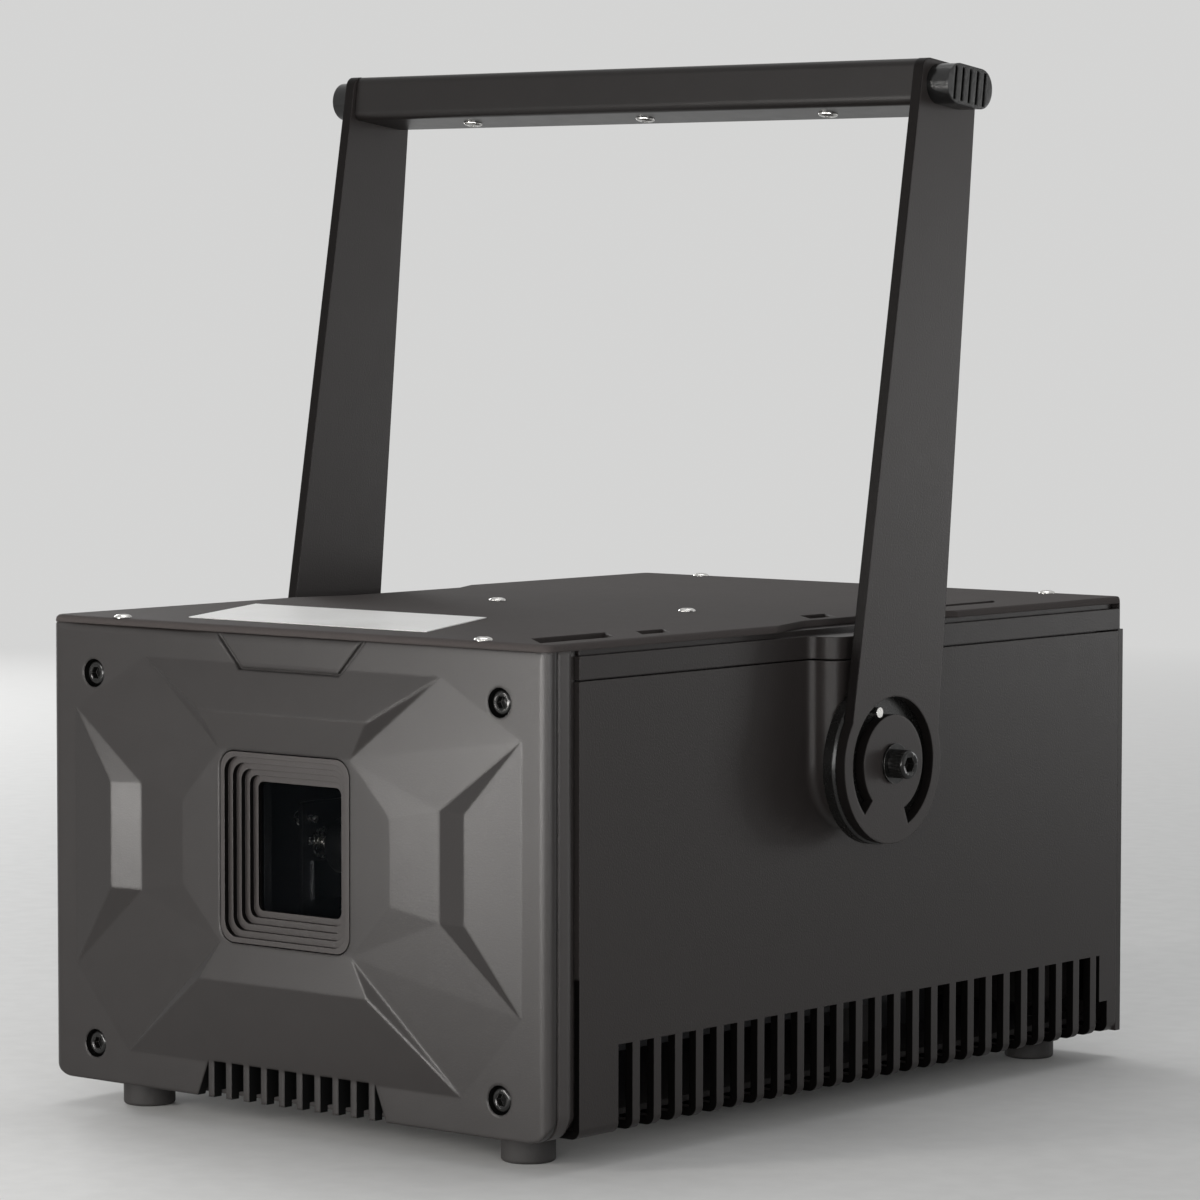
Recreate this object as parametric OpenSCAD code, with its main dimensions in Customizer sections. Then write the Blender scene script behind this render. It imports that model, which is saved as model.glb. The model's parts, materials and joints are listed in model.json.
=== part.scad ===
// Laser show projector with a tilting yoke
// The origin lies on the floor below the middle of the case. The front faces -Y.

/* [Case] */
// Width across the side panels
case_w = 232; // [220:1:280]
// Depth from the flat of the front panel to the rear panel
case_d = 332; // [326:1:400]
// Height of the case from its underside up to the cover
case_h = 161.5; // [158:0.5:190]
// Thickness of the side panels
side_t = 3; // [2:0.5:4]
// Thickness of the base plate
base_t = 4; // [3:0.5:6]
// Radius of the upright corners beside the front panel
corner_r = 4; // [3.5:0.5:14]
// Radius of the long edges under the case
under_r = 3.5; // [2:0.5:5]

/* [Front panel] */
// Thickness of the front panel at its flat rim
panel_t = 8; // [7:0.5:10]
// Radius of the two bottom corners
panel_corner_r = 9; // [5:0.5:14]
// Depth of the visible outer lip of the front panel
lip_t = 3.6; // [2:0.1:5]
// Width of the groove behind that lip
groove_w = 1.2; // [0.8:0.1:3]
// Depth of the groove, and of the recess further back
groove_deep = 2.2; // [1:0.1:3]
// Depth of the frame band behind the groove
band_t = 5.8; // [5:0.1:9]
// Width of the recess between that band and the side panels
recess_t = 4.6; // [3:0.1:7]
// Height of the crown at the inner folds
crown = 4.5; // [2:0.1:6]
// Height of the crown at the side folds
ring_proud = 4; // [2:0.1:6]
// Height of the valleys beside the window
valley_proud = 1.6; // [0.5:0.1:2.5]
// Height of the field round the window
field_proud = 2.8; // [1:0.1:4]
// Half width of the crown at its side folds
ring_x = 82.5; // [78:0.5:86]
// Half width of the crown at its top and bottom folds
fold_x = 39.2; // [35:0.1:44]
// Half height of the crown at its top and bottom folds
fold_z = 46.5; // [42:0.1:50]
// Distance of the front screws from the sides
screw_side = 21.5; // [18:0.5:26]
// Height of the lower front screws
screw_low = 13; // [11:0.5:18]
// Distance of the upper front screws below the cover
screw_drop = 17.3; // [12:0.1:20]

/* [Window] */
// Height of the middle of the window above the underside
win_h = 88.3; // [80:0.1:96]
// Width of the window baffle
win_w = 60.8; // [52:0.1:64]
// Height of the window baffle
win_tall = 66.6; // [58:0.1:70]
// Number of steps in the baffle
win_steps = 5; // [3:1:6]
// Width of each step
step_w = 2.2; // [1.5:0.1:2.4]
// Depth of each step
step_d = 1.9; // [1:0.1:2]
// Corner radius of the window
win_r = 6.5; // [5:0.5:8]
// Thickness of the glass
glass_t = 3; // [2:0.5:4]

/* [Vents] */
// Distance of the first side slot behind the front
vent_front = 35.3; // [30:0.1:60]
// Least distance of the last side slot from the rear
vent_rear = 8; // [5:0.5:30]
// Distance from one side slot to the next
side_pitch = 11.22; // [9:0.01:11.5]
// Width of a side slot
side_slot_w = 7.4; // [4:0.1:8]
// Height of the top of the side slots
side_slot_h = 29.5; // [20:0.5:34]
// Reach of the side slots under the case
side_slot_in = 15; // [8:0.5:18]
// Number of slots below the front panel
front_slots = 9; // [5:1:11]
// Distance from one front slot to the next
front_pitch = 8.36; // [7:0.01:9]
// Width of a front slot
front_slot_w = 5.6; // [3:0.1:6]
// Height of the front slots
front_slot_h = 12.6; // [8:0.1:16]

/* [Cover and rim] */
// Thickness of the cover
cover_t = 2.5; // [2:0.5:6]
// Rounding of the cover's top edge
cover_r = 1.8; // [0.8:0.1:2.5]
// Height of the rim between the side panels and the cover
rim_h = 7.7; // [4:0.1:10]
// Shadow gap below the rim
rim_gap = 0.6; // [0.3:0.1:1.5]
// Shadow gap below the cover
cover_gap = 2; // [1:0.1:3]
// Depth of the shallow cut-outs in the cover beside the yoke
cover_cut = 9; // [4:0.5:12]

/* [Pivot bulges] */
// Distance of the pivot in front of the middle of the case
pivot_front = 5.5; // [0:0.5:20]
// Height of the pivot above the underside
pivot_h = 115; // [105:0.5:125]
// Half width of the bulge
bulge_r = 21.5; // [18:0.5:26]
// Reach of the bulge from the side panel
bulge_out = 11; // [8:0.5:14]
// Rounding of the bulge's edges
bulge_edge = 6.5; // [3:0.5:8]
// Radius of the boss disc
boss_r = 28.6; // [27:0.1:32]
// Thickness of the boss disc
boss_t = 4.8; // [3:0.1:7]

/* [Yoke] */
// Thickness of the arms
arm_t = 4; // [3:0.5:6]
// Radius of the round foot of the arms
arm_r = 28; // [26:0.5:30]
// Half width of the arms at the pivot, where they meet the round foot
arm_low = 25.5; // [24.5:0.5:27.5]
// Half width of the arms at the top
arm_top = 16; // [15:0.5:22]
// Distance from the pivot to the middle of the crossbar
yoke_reach = 236.6; // [220:0.1:260]
// Backward lean of the yoke at rest, in degrees
yoke_lean = 7.4; // [0:0.2:30]
// Depth of the crossbar
bar_d = 29; // [24:0.5:34]
// Height of the crossbar
bar_h = 16.5; // [14:0.5:20]
// Wall of the crossbar
bar_wall = 2.5; // [2:0.5:4]
// Reach of each end cap from its arm
cap_out = 9; // [6:0.5:14]
// Distance between the crossbar screws
bar_screw_gap = 84; // [60:1:110]
// Inner radius of the curved slot in the arms
slot_in = 17; // [15:0.5:19]
// Width of the curved slot
slot_w = 6.3; // [5:0.1:7]
// Diameter of the stop pins
stop_d = 3.6; // [3:0.1:4.5]
// Diameter of the pivot bolts
bolt_d = 6; // [5:0.5:8]

/* [Feet and label] */
// Height of the feet
foot_h = 10.3; // [8:0.1:16]
// Diameter of the feet
foot_d = 18.4; // [14:0.1:24]
// Distance of the feet from the sides
foot_side = 27; // [24:0.5:40]
// Distance of the feet from the front and the rear
foot_end = 21; // [19:0.5:40]
// Width of the blank label
label_w = 112; // [60:1:120]
// Depth of the blank label
label_d = 66; // [40:1:80]
// Thickness of the label
label_t = 0.3; // [0.2:0.1:0.5]

/* [Rear] */
// Thickness of the rear panel
rear_t = 3; // [2:0.5:4]
// Distance of the recessed connector bay from the sides
bay_side = 21; // [19:0.5:23]
// Height of the connector bay
bay_tall = 66; // [66:1:70]
// Height of the bay's lower edge above the underside
bay_low = 12; // [11:0.5:14]
// Depth of the bay
bay_deep = 20; // [18:0.5:24]
// Thickness of the bay's sheet
bay_t = 2; // [1.5:0.5:3]
// Room left free above and below the fans
fan_room = 9.2; // [8:0.2:14]
// Depth of a fan frame
fan_deep = 25; // [20:1:30]
// Distance of each fan's middle from the side
fan_side = 50; // [46:0.5:52]
// Number of blades on a fan
fan_blades = 7; // [5:1:9]
// Number of rings in a fan guard
guard_rings = 4; // [2:1:5]
// Diameter of the fan guard's wire
guard_wire = 2.5; // [2.3:0.1:3.2]
// Diameter of a menu button
menu_d = 9; // [7:0.5:11]
// Travel of a menu button
menu_travel = 1; // [0.5:0.1:1.5]
// Inner radius of the safety eye
eye_r = 6; // [5:0.5:8]
// Thickness of the safety eye
eye_t = 4; // [3:0.5:6]

/* [Optics] */
// Thickness of the optical base
deck_t = 8; // [6:0.5:12]
// Height of the rubber dampers under the optical base
damper_h = 16; // [12:0.5:20]
// Diameter of a scanner motor
motor_d = 17; // [14:0.5:20]
// Length of a scanner motor
motor_l = 34; // [28:1:40]
// Diameter of the scanner shafts
shaft_d = 3; // [2.5:0.1:4]
// Width of the scanning mirrors
mirror_w = 14; // [10:0.5:16]
// Curls of the adjusting spring
spring_curls = 4; // [3:1:6]
// Mean radius of the adjusting spring
spring_r = 2.1; // [2:0.1:3]
// Diameter of its wire
spring_wire = 0.9; // [0.6:0.1:1.1]

/* [Hidden] */

$fn = 64;
// Clearances: between fixed pieces, between moving flat faces, and round a turning shaft
fit = 0.1;
slack = 0.3;
running = 0.05;
// Overshoot of cutting shapes
over = 1;

half_w = case_w / 2;
half_d = case_d / 2;
front_y = -half_d;
panel_back = front_y + panel_t;
band_front = front_y + lip_t + groove_w;
band_back = band_front + band_t;
side_front = band_back + recess_t;
rear_y = half_d - rear_t;
side_top = case_h - cover_gap - rim_h - rim_gap;
floor_top = side_t + 2;
screw_high = case_h - screw_drop;
screw_x = half_w - screw_side;

// Corners of the crown, measured from the middle of the window
field_x = win_w / 2;
field_z = win_tall / 2;
tip_side_x = half_w - 12;
tip_side_up = 43.7;
tip_side_down = 47.8;
tip_top_x = half_w - 47.1;
tip_top_z = case_h - win_h - 10.2;
tip_low_x = half_w - 38;
tip_low_z = win_h - 12;
ring_z = 18.5;
valley_x = 69.7;
valley_z = 18.7;
cheek_x = 48.4;
cheek_z = 14.7;
crest_x = field_x + 1.6;
crest_z = 24;
crown_root = 1;

// Front screws and the posts that take them
front_bolt_d = 5;
front_head_d = 8.5;
front_head_h = 4.6;
counterbore_d = 10;
screw_seat = 5.4;
frame_wall = 9;
frame_r = 4;
post_d = 16;

// Fine trapezoid line below the cover
line_deep = 0.8;
line_w = 1;
line_top_x = 36.2;
line_low_x = 23.4;
line_drop = 12.5;

// Window baffle and glass
baffle_gap = 0.4;
baffle_flange = 4;
flange_t = 3.4;
step_round = 0.8;
glass_r = 2;
glass_frame_t = 2;
baffle_y = front_y - field_proud;
glass_y = baffle_y + win_steps * step_d;
glass_w = win_w - 2 * win_steps * step_w + 2 * baffle_flange;
glass_tall = win_tall - 2 * win_steps * step_w + 2 * baffle_flange;
frame_back = panel_back + flange_t + glass_frame_t;

// Side panels
side_slots = floor((case_d - vent_front - vent_rear - side_slot_w) / side_pitch) + 1;
flange_in = 17;
ledge = 5;
rear_post = 11;
blend_r = 3;
pad_in = 6;

// Rim and cover
rim_inner = 9;
rim_lip = 2.5;
rim_down = 6;
rear_r = 3;
cover_cut_front = -46;
cover_cut_rear = 60;
cover_screw_x = 84;
cover_screw_edge = 4;
cover_mid_x = 45;
cover_mid_y = -7;
cover_bolt_d = 3;
cover_head_d = 5.6;
cover_head_h = 1.6;
label_x = -26;
label_y = -114;
label_slant = 31;

// Pivot
pivot_y = -pivot_front;
bulge_x = half_w + bulge_out;
boss_edge = 0.8;
arm_gap = 0.2;
arm_x = bulge_x + boss_t + arm_gap;
arm_out = arm_x + arm_t;
slot_mid = slot_in + slot_w / 2;
slot_from = yoke_lean - 68.3;
slot_to = yoke_lean + 225.5;
stop_angle = 115;
stop_y = pivot_y + slot_mid * cos(stop_angle);
stop_z = pivot_h + slot_mid * sin(stop_angle);
stop_proud = 0.4;
stop_into = 6;
washer_r = 7;
washer_t = 1;
bolt_head_d = 10;
bolt_head_h = 6;
bolt_into = 14;
bolt_hex = 5;
knurls = 24;

// Yoke
arm_high = yoke_reach + bar_h / 2;
arm_corner = 4;
bar_screw_d = 4;
bar_screw_head = 7;
bar_screw_h = 1.5;
bar_screw_long = 6;
cap_in = 1.2;
bar_round = 3;
cap_ribs = 6;
cap_rib_gap = 1.6;
cap_rib_deep = 4;
cap_lip = 1.2;

// Feet
foot_x = half_w - foot_side;
foot_y = half_d - foot_end;
foot_edge = 1.2;
foot_screw_d = 4;
foot_head_d = 7;
foot_head_h = 2.6;
foot_pit = 5;

// Rear panel, from the bay's connectors to the fans
rear_screw_d = 3;
rear_head_d = 5.6;
rear_head_h = 2;
rear_screw_x = half_w - 7;
rear_screw_long = 7;
bay_y = half_d - bay_deep;
bay_w = case_w - 2 * bay_side;
bay_z = bay_low + bay_tall / 2;
bay_r = 3;
bay_lip = 4;
row_up = bay_z + 17;
row_low = bay_z - 14;
inlet_x = -bay_w / 2 + 29;
rocker_x = inlet_x + 38;
key_x = rocker_x + 26;
eye_x = bay_w / 2 - 8;
data_gap = 32;
data_x = eye_x - 24 - data_gap;
control_x = -bay_w / 2 + 33;
control_gap = 58;
interlock_x = eye_x - 13;
network_x = interlock_x - 32;
eye_wall = 4;
eye_foot_w = 12;
eye_foot_t = 3;
fan_size = side_top - bay_low - bay_tall - bay_lip - fan_room;
fan_x = half_w - fan_side;
fan_z = side_top - fan_room / 2 - fan_size / 2;
fan_bore = fan_size - 3;
fan_corner = 4;
fan_hole = 50 / 60 * fan_size / 2;
fan_hub_d = 26;
fan_plate = 3;
fan_pin_d = 3;
fan_tilt = 38;
blade_t = 1.4;
fan_front = rear_y - fan_deep;
fan_back = rear_y - 4;
fan_cap = 3;
fan_strut = 5;
guard_eye = 8;
display_w = 40;
display_tall = 20;
display_t = 2;
display_up = 13;
display_lip = 2;
menu_lip = 1.5;
menu_collar = 3;
menu_down = 12;
menu_gap = 13.5;

// Connectors of the bay
inlet_body_w = 28;
inlet_body_h = 21;
inlet_deep = 16;
inlet_plate_w = 48;
inlet_plate_h = 26;
inlet_wall = 4;
inlet_pin_gap = 14;
inlet_pin_rise = 4;
flange_plate = 2;
switch_w = 20;
switch_h = 28;
switch_rim = 1.5;
switch_wall = 2.5;
rocker_grip = 1;
rocker_tilt = 10;
key_body_d = 19;
data_d = 22;
data_flange = 27;
data_pin_r = 4.5;
socket_floor = 6;
socket_wall = 2.5;
control_w = 42;
control_h = 11;
control_plate_w = 53;
control_plate_h = 12.6;
control_nut_x = 23.5;
control_out = 6;
control_pitch = 2.76;
network_w = 17;
network_h = 14;
network_r = 0.6;
network_wall = 2.5;
socket_body = 18;
pin_d = 2;
rocker_axis = 4;
rocker_pin = 3;
key_barrel = 12;
key_out = 15;
key_floor = 3;
key_t = 2;
key_blade = 8;
key_bow_w = 17;
key_bow_d = 9;
key_ring = 2.5;

// Optics
deck_z = base_t + damper_h;
deck_top = deck_z + deck_t;
deck_half = 86;
deck_front = front_y + 20;
plug_room = 30;
supply_d = 40;
supply_gap = 6;
deck_rear = bay_y - plug_room - supply_d - supply_gap;
laser_rise = 46;
laser_long = 90;
laser_gap = 2;
laser_x = -20;
laser_first = 84;
laser_last = 56;
laser_pitch = (deck_rear - deck_front - laser_first - laser_last) / 2;
laser_d = laser_pitch - laser_gap;
fin_pitch = 7;
fin_gap = 4;
fin_deep = 12;
board_t = 1.6;
board_high = 90;
driver_high = 70;
driver_x = -60;
supply_x = -45;
supply_w = 110;
supply_high = 60;
damper_d = 16;
damper_in = 14;
scan_y = front_y + 38;
beam_h = win_h - 18;
mirror_t = 1;
mirror_long = 16;
glue = 0.05;
motor_nose = 9;
motor_gap_y = 5;
motor_gap_x = 4;
clamp_wall = 3;
clamp_foot_t = 12;
clamp_l = motor_l - 10;
clamp_half = motor_d / 2 + clamp_wall;
clamp_x = mirror_w / 2 + motor_gap_y;
clamp_y = mirror_w / 2 + motor_gap_x;
nose_l = 3;
mount_y = front_y + 48;
mount_x = -40.3;
mount_t = 1.6;
mount_w = 24;
mount_over = 10;
mount_foot = 10;
mount_foot_t = 4;
mirror_shift = 8;
adjust_d = 2.5;
adjust_in = 4;
adjust_bead = 2.8;
adjust_high = win_h + 4 - deck_top;
adjust_low = win_h - 4 - deck_top;
knob_d = 20;
washer_wide = 11;
spring_lead = 2.1;
spring_rings = 8;
spring_sides = 6;
spring_from = mount_x + 7.8;
spring_to = spring_from + spring_lead * spring_curls + spring_wire;

// A rectangle with round corners, centred on the origin
module round_rect(w, h, r) {
    square([w - 2 * r, h], center = true);
    square([w, h - 2 * r], center = true);
    for (sx = [-1, 1], sy = [-1, 1])
        translate([sx * (w / 2 - r), sy * (h / 2 - r)]) circle(r);
}

// Extrudes a shape drawn in width and height from depth y0 to y1
module along_y(y0, y1) {
    translate([0, y1, 0]) rotate([90, 0, 0]) linear_extrude(y1 - y0) children();
}

// Extrudes a shape drawn in depth and height from x0 to x1
module along_x(x0, x1) {
    translate([x0, 0, 0]) rotate([90, 0, 90]) linear_extrude(x1 - x0) children();
}

// A cylinder along X from x0 to x1
module rod_x(x0, x1, d) {
    translate([x0, 0, 0]) rotate([0, 90, 0]) cylinder(h = x1 - x0, d = d);
}

// A cylinder along Y from y0 to y1
module rod_y(y0, y1, d) {
    translate([0, y1, 0]) rotate([90, 0, 0]) cylinder(h = y1 - y0, d = d);
}

// Lifts the case onto its feet
module on_feet() {
    translate([0, 0, foot_h]) children();
}

// Moves to the pivot
module at_pivot() {
    on_feet() translate([0, pivot_y, pivot_h]) children();
}

module both_sides() {
    children();
    mirror([1, 0, 0]) children();
}

// A cap screw whose head stands on the seat plane, with a hexagon socket
module cap_screw(d, head_d, head_h, long, hex) {
    difference() {
        union() {
            cylinder(h = head_h, d = head_d);
            translate([0, 0, -long]) cylinder(h = long + head_h / 2, d = d);
        }
        translate([0, 0, head_h / 2]) cylinder(h = head_h, d = hex, $fn = 6);
    }
}

// Outline of the case seen from the front, drawn in by an inset
module front_outline(inset) {
    low = panel_corner_r - inset;
    difference() {
        translate([-half_w + inset, inset]) square([case_w - 2 * inset, case_h - inset]);
        for (s = [-1, 1])
            translate([s * (half_w - inset), inset]) difference() {
                square(2 * low, center = true);
                translate([-s * low, low]) circle(low);
            }
    }
}

// Plan of the case with round front corners; an inset keeps their centres
module plan_outline(inset) {
    translate([-half_w + corner_r, front_y]) square([case_w - 2 * corner_r, 2 * corner_r]);
    translate([-half_w + inset, front_y + corner_r]) square([case_w - 2 * inset, case_d - corner_r]);
    for (s = [-1, 1])
        translate([s * (half_w - corner_r), front_y + corner_r]) circle(corner_r - inset);
}

// A slice of the case between two depths
module case_slice(y0, y1, inset) {
    intersection() {
        along_y(y0, y1) front_outline(inset);
        linear_extrude(case_h) plan_outline(inset);
    }
}

// Eight corners in each quarter of the crown: 0 field, 1 fold, 2 tip, 3 side tip, 4 ring, 5 valley,
// 6 cheek, 7 crest
function quarter(sx, sz, tip_x, tip_z, side_z) = [
    [sx * field_x, front_y - field_proud, sz * field_z],
    [sx * fold_x, front_y - crown, sz * fold_z],
    [sx * tip_x, front_y, sz * tip_z],
    [sx * tip_side_x, front_y, sz * side_z],
    [sx * ring_x, front_y - ring_proud, sz * ring_z],
    [sx * valley_x, front_y - valley_proud, sz * valley_z],
    [sx * cheek_x, front_y - field_proud, sz * cheek_z],
    [sx * crest_x, front_y - field_proud, sz * crest_z]];
function root(q) = [for (i = [2, 3]) [q[i][0], front_y + crown_root, q[i][2]]];
function turned(face) = [for (i = [len(face) - 1:-1:0]) face[i]];
function shifted(face, by) = [for (i = face) i + by];

// The relief between the tips: right top quarter first, then left top, left low and right low
module crown_relief() {
    rt = quarter(1, 1, tip_top_x, tip_top_z, tip_side_up);
    lt = quarter(-1, 1, tip_top_x, tip_top_z, tip_side_up);
    lb = quarter(-1, -1, tip_low_x, tip_low_z, tip_side_down);
    rb = quarter(1, -1, tip_low_x, tip_low_z, tip_side_down);
    folds = [[3, 5, 0], [3, 0, 2], [5, 6, 0], [6, 7, 0], [3, 4, 5], [2, 0, 1]];
    corner_faces = [for (q = [0:3]) for (f = folds) q % 2 == 1 ? turned(shifted(f, 8 * q)) : shifted(f, 8 * q)];
    right_faces = [for (i = [3:6]) [i, 24 + i, 25 + i, i + 1]];
    left_faces = [for (i = [3:6]) turned([8 + i, 16 + i, 17 + i, 9 + i])];
    top_faces = [[1, 0, 8, 9], [2, 1, 9, 10]];
    low_faces = [[24, 25, 17, 16], [25, 26, 18, 17]];
    window_face = [0, 7, 31, 24, 16, 23, 15, 8];
    rim = [2, 3, 27, 26, 18, 19, 11, 10];
    base = [32, 33, 39, 38, 36, 37, 35, 34];
    skirt = [for (i = [0:7]) [rim[(i + 1) % 8], rim[i], base[i], base[(i + 1) % 8]]];
    polyhedron(concat(rt, lt, lb, rb, root(rt), root(lt), root(lb), root(rb)),
               concat(corner_faces, right_faces, left_faces, top_faces, low_faces, [window_face], skirt,
                      [turned(base)]));
}

// Puts its children on the front face with +Z pointing out of it
module front_screw_places() {
    for (x = [-screw_x, screw_x], h = [screw_low, screw_high])
        translate([x, front_y, h]) rotate([90, 0, 0]) children();
}

// The slanted opening at the foot of the panel, crossed by its fins
module front_vent() {
    fin = front_pitch - front_slot_w;
    top_half = front_pitch * front_slots / 2 + fin / 2;
    foot_half = top_half + front_slot_w;
    difference() {
        along_y(front_y - over, panel_back + over)
            polygon([[-foot_half, -over], [foot_half, -over], [top_half, front_slot_h], [-top_half, front_slot_h]]);
        for (i = [0:front_slots])
            translate([front_pitch * (i - front_slots / 2) - fin / 2, front_y - 2 * over, -2 * over])
                cube([fin, panel_t + 4 * over, front_slot_h + 4 * over]);
    }
}

module top_line() {
    low = case_h - line_drop;
    along_y(front_y - over, front_y + line_deep) difference() {
        polygon([[-line_top_x, case_h + over], [line_top_x, case_h + over], [line_low_x, low], [-line_low_x, low]]);
        polygon([[-line_top_x + line_w, case_h + 2 * over], [line_top_x - line_w, case_h + 2 * over],
                 [line_low_x - line_w, low + line_w], [-line_low_x + line_w, low + line_w]]);
    }
}

module front_panel() {
    color([0.28, 0.265, 0.26]) on_feet() difference() {
        union() {
            case_slice(front_y, front_y + lip_t, 0);
            case_slice(front_y + lip_t - slack, panel_back, groove_deep);
            translate([0, 0, win_h]) crown_relief();
        }
        translate([0, 0, win_h]) along_y(front_y - 2 * crown, panel_back + over)
            round_rect(win_w, win_tall, win_r);
        front_vent();
        top_line();
        front_screw_places() {
            translate([0, 0, -screw_seat]) cylinder(h = panel_t + crown, d = counterbore_d);
            translate([0, 0, -2 * panel_t]) cylinder(h = 2 * panel_t, d = front_bolt_d + 2 * fit);
        }
        cover_screw_places() cover_screw_hole();
    }
}

module front_screws() {
    color([0.1, 0.1, 0.1]) on_feet() front_screw_places() translate([0, 0, -screw_seat])
        cap_screw(front_bolt_d, front_head_d, front_head_h, panel_t, 4);
}

module front_frame() {
    color([0.16, 0.155, 0.15]) on_feet() difference() {
        union() {
            difference() {
                union() {
                    case_slice(band_front, band_back, 0);
                    case_slice(band_back - slack, side_front, groove_deep);
                }
                along_y(band_front - over, side_front + over) translate([0, case_h / 2])
                    round_rect(case_w - 2 * frame_wall, case_h - 2 * frame_wall, frame_r);
            }
            for (x = [-screw_x, screw_x], h = [screw_low, screw_high])
                along_y(band_front, side_front) translate([x, h]) circle(d = post_d);
        }
        along_y(band_front - over, panel_back + fit) front_outline(groove_deep - fit);
        front_screw_places() translate([0, 0, -3 * panel_t]) cylinder(h = 3 * panel_t, d = front_bolt_d + 2 * fit);
        translate([-half_w + flange_in, band_front - over, -over])
            cube([case_w - 2 * flange_in, side_front - band_front + 2 * over, frame_wall + 2 * over]);
    }
}

module window_baffle() {
    color([0.2, 0.19, 0.185]) on_feet() translate([0, 0, win_h]) difference() {
        union() {
            along_y(baffle_y, panel_back + slack)
                round_rect(win_w - 2 * baffle_gap, win_tall - 2 * baffle_gap, win_r - baffle_gap);
            along_y(panel_back, panel_back + flange_t)
                round_rect(win_w + 2 * baffle_flange, win_tall + 2 * baffle_flange, win_r);
        }
        for (i = [1:win_steps])
            along_y(baffle_y - over, baffle_y + step_d * i)
                round_rect(win_w - 2 * step_w * i, win_tall - 2 * step_w * i, win_r - step_round * i);
        along_y(glass_y, panel_back + flange_t + over)
            round_rect(glass_w + 2 * fit, glass_tall + 2 * fit, glass_r);
    }
}

module window_glass() {
    color([0.75, 0.85, 0.88, 0.4]) on_feet() translate([0, 0, win_h])
        along_y(glass_y, glass_y + glass_t) round_rect(glass_w, glass_tall, glass_r);
}

module glass_frame() {
    color([0.08, 0.08, 0.08]) on_feet() translate([0, 0, win_h]) difference() {
        union() {
            along_y(glass_y + glass_t, frame_back) round_rect(glass_w, glass_tall, glass_r);
            along_y(panel_back + flange_t, frame_back)
                round_rect(win_w + baffle_flange, win_tall + baffle_flange, glass_r);
        }
        along_y(glass_y, frame_back + over)
            round_rect(glass_w - baffle_flange, glass_tall - baffle_flange, glass_r);
    }
}

// Half of the bulge's cross-section: distance from the pivot, then reach from the panel
module bulge_profile() {
    square([bulge_r - bulge_edge, bulge_out]);
    square([bulge_r, bulge_out - bulge_edge]);
    translate([bulge_r - bulge_edge, bulge_out - bulge_edge]) circle(bulge_edge);
    difference() {
        square([bulge_r + blend_r, blend_r]);
        translate([bulge_r + blend_r, blend_r]) circle(blend_r);
    }
}

// Plan of the right bulge
module bulge_plan() {
    translate([half_w, pivot_y]) rotate(-90) {
        bulge_profile();
        mirror([1, 0]) bulge_profile();
    }
}

module bulge_foot() {
    translate([half_w, pivot_y, pivot_h]) intersection() {
        rotate([0, 90, 0]) rotate_extrude() bulge_profile();
        translate([-over, -2 * bulge_r, -2 * bulge_r]) cube([2 * bulge_out, 4 * bulge_r, 2 * bulge_r]);
    }
}

// The right side panel, with its fins, its bulge and the post for the rear panel
module side_panel() {
    difference() {
        union() {
            difference() {
                union() {
                    translate([half_w - side_t, side_front, 0]) cube([side_t, rear_y - side_front, side_top]);
                    translate([half_w - flange_in, side_front, 0]) cube([flange_in, rear_y - side_front, side_t]);
                }
                along_y(side_front - over, rear_y + over) translate([half_w, 0]) difference() {
                    square(2 * under_r, center = true);
                    translate([-under_r, under_r]) circle(under_r);
                }
                for (i = [0:side_slots - 1])
                    translate([half_w - side_slot_in, front_y + vent_front + side_pitch * i, -over])
                        cube([side_slot_in + over, side_slot_w, side_slot_h + over]);
            }
            translate([0, 0, pivot_h]) linear_extrude(side_top - pivot_h) bulge_plan();
            bulge_foot();
            translate([0, pivot_y, pivot_h]) rod_x(half_w - pad_in, half_w, 2 * bulge_r);
            translate([half_w - rear_post, rear_y - rear_post, bay_low])
                cube([rear_post, rear_post, side_top - bay_low]);
        }
        translate([0, pivot_y, pivot_h]) rod_x(half_w - pad_in - over, bulge_x + over, bolt_d + 2 * fit);
        translate([0, stop_y, stop_z]) rod_x(bulge_x - stop_into, bulge_x + over, stop_d + 2 * fit);
        rear_screw_places() translate([0, 0, -rear_post]) cylinder(h = rear_post, d = rear_screw_d + 2 * fit);
    }
}

module side_panel_right() {
    color([0.27, 0.255, 0.25]) on_feet() side_panel();
}

module side_panel_left() {
    color([0.27, 0.255, 0.25]) on_feet() mirror([1, 0, 0]) side_panel();
}

module base_plate() {
    color([0.15, 0.145, 0.14]) on_feet() difference() {
        union() {
            translate([-half_w + flange_in + fit, panel_back + fit, 0])
                cube([case_w - 2 * flange_in - 2 * fit, rear_y - panel_back - 2 * fit, base_t]);
            translate([-half_w + flange_in - ledge, side_front, side_t])
                cube([case_w - 2 * flange_in + 2 * ledge, rear_y - side_front - fit, floor_top - side_t]);
        }
        foot_places() translate([0, 0, -over]) cylinder(h = floor_top + 2 * over, d = foot_screw_d + 2 * fit);
    }
}

module foot_places() {
    for (x = [-foot_x, foot_x], y = [-foot_y, foot_y]) translate([x, y, 0]) children();
}

module feet() {
    color([0.09, 0.09, 0.09]) foot_places() rotate_extrude() difference() {
        square([foot_d / 2, foot_h]);
        translate([0, -over]) square([foot_head_d / 2 + 0.5, foot_pit + over]);
        translate([0, -over]) square([foot_screw_d / 2 + fit, foot_h + 2 * over]);
        translate([foot_d / 2, 0]) difference() {
            square(2 * foot_edge, center = true);
            translate([-foot_edge, foot_edge]) circle(foot_edge);
        }
    }
}

module foot_screws() {
    color([0.7, 0.7, 0.7]) foot_places() translate([0, 0, foot_pit]) mirror([0, 0, 1])
        cap_screw(foot_screw_d, foot_head_d, foot_head_h, foot_h - foot_pit + base_t, 2.5);
}

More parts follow.
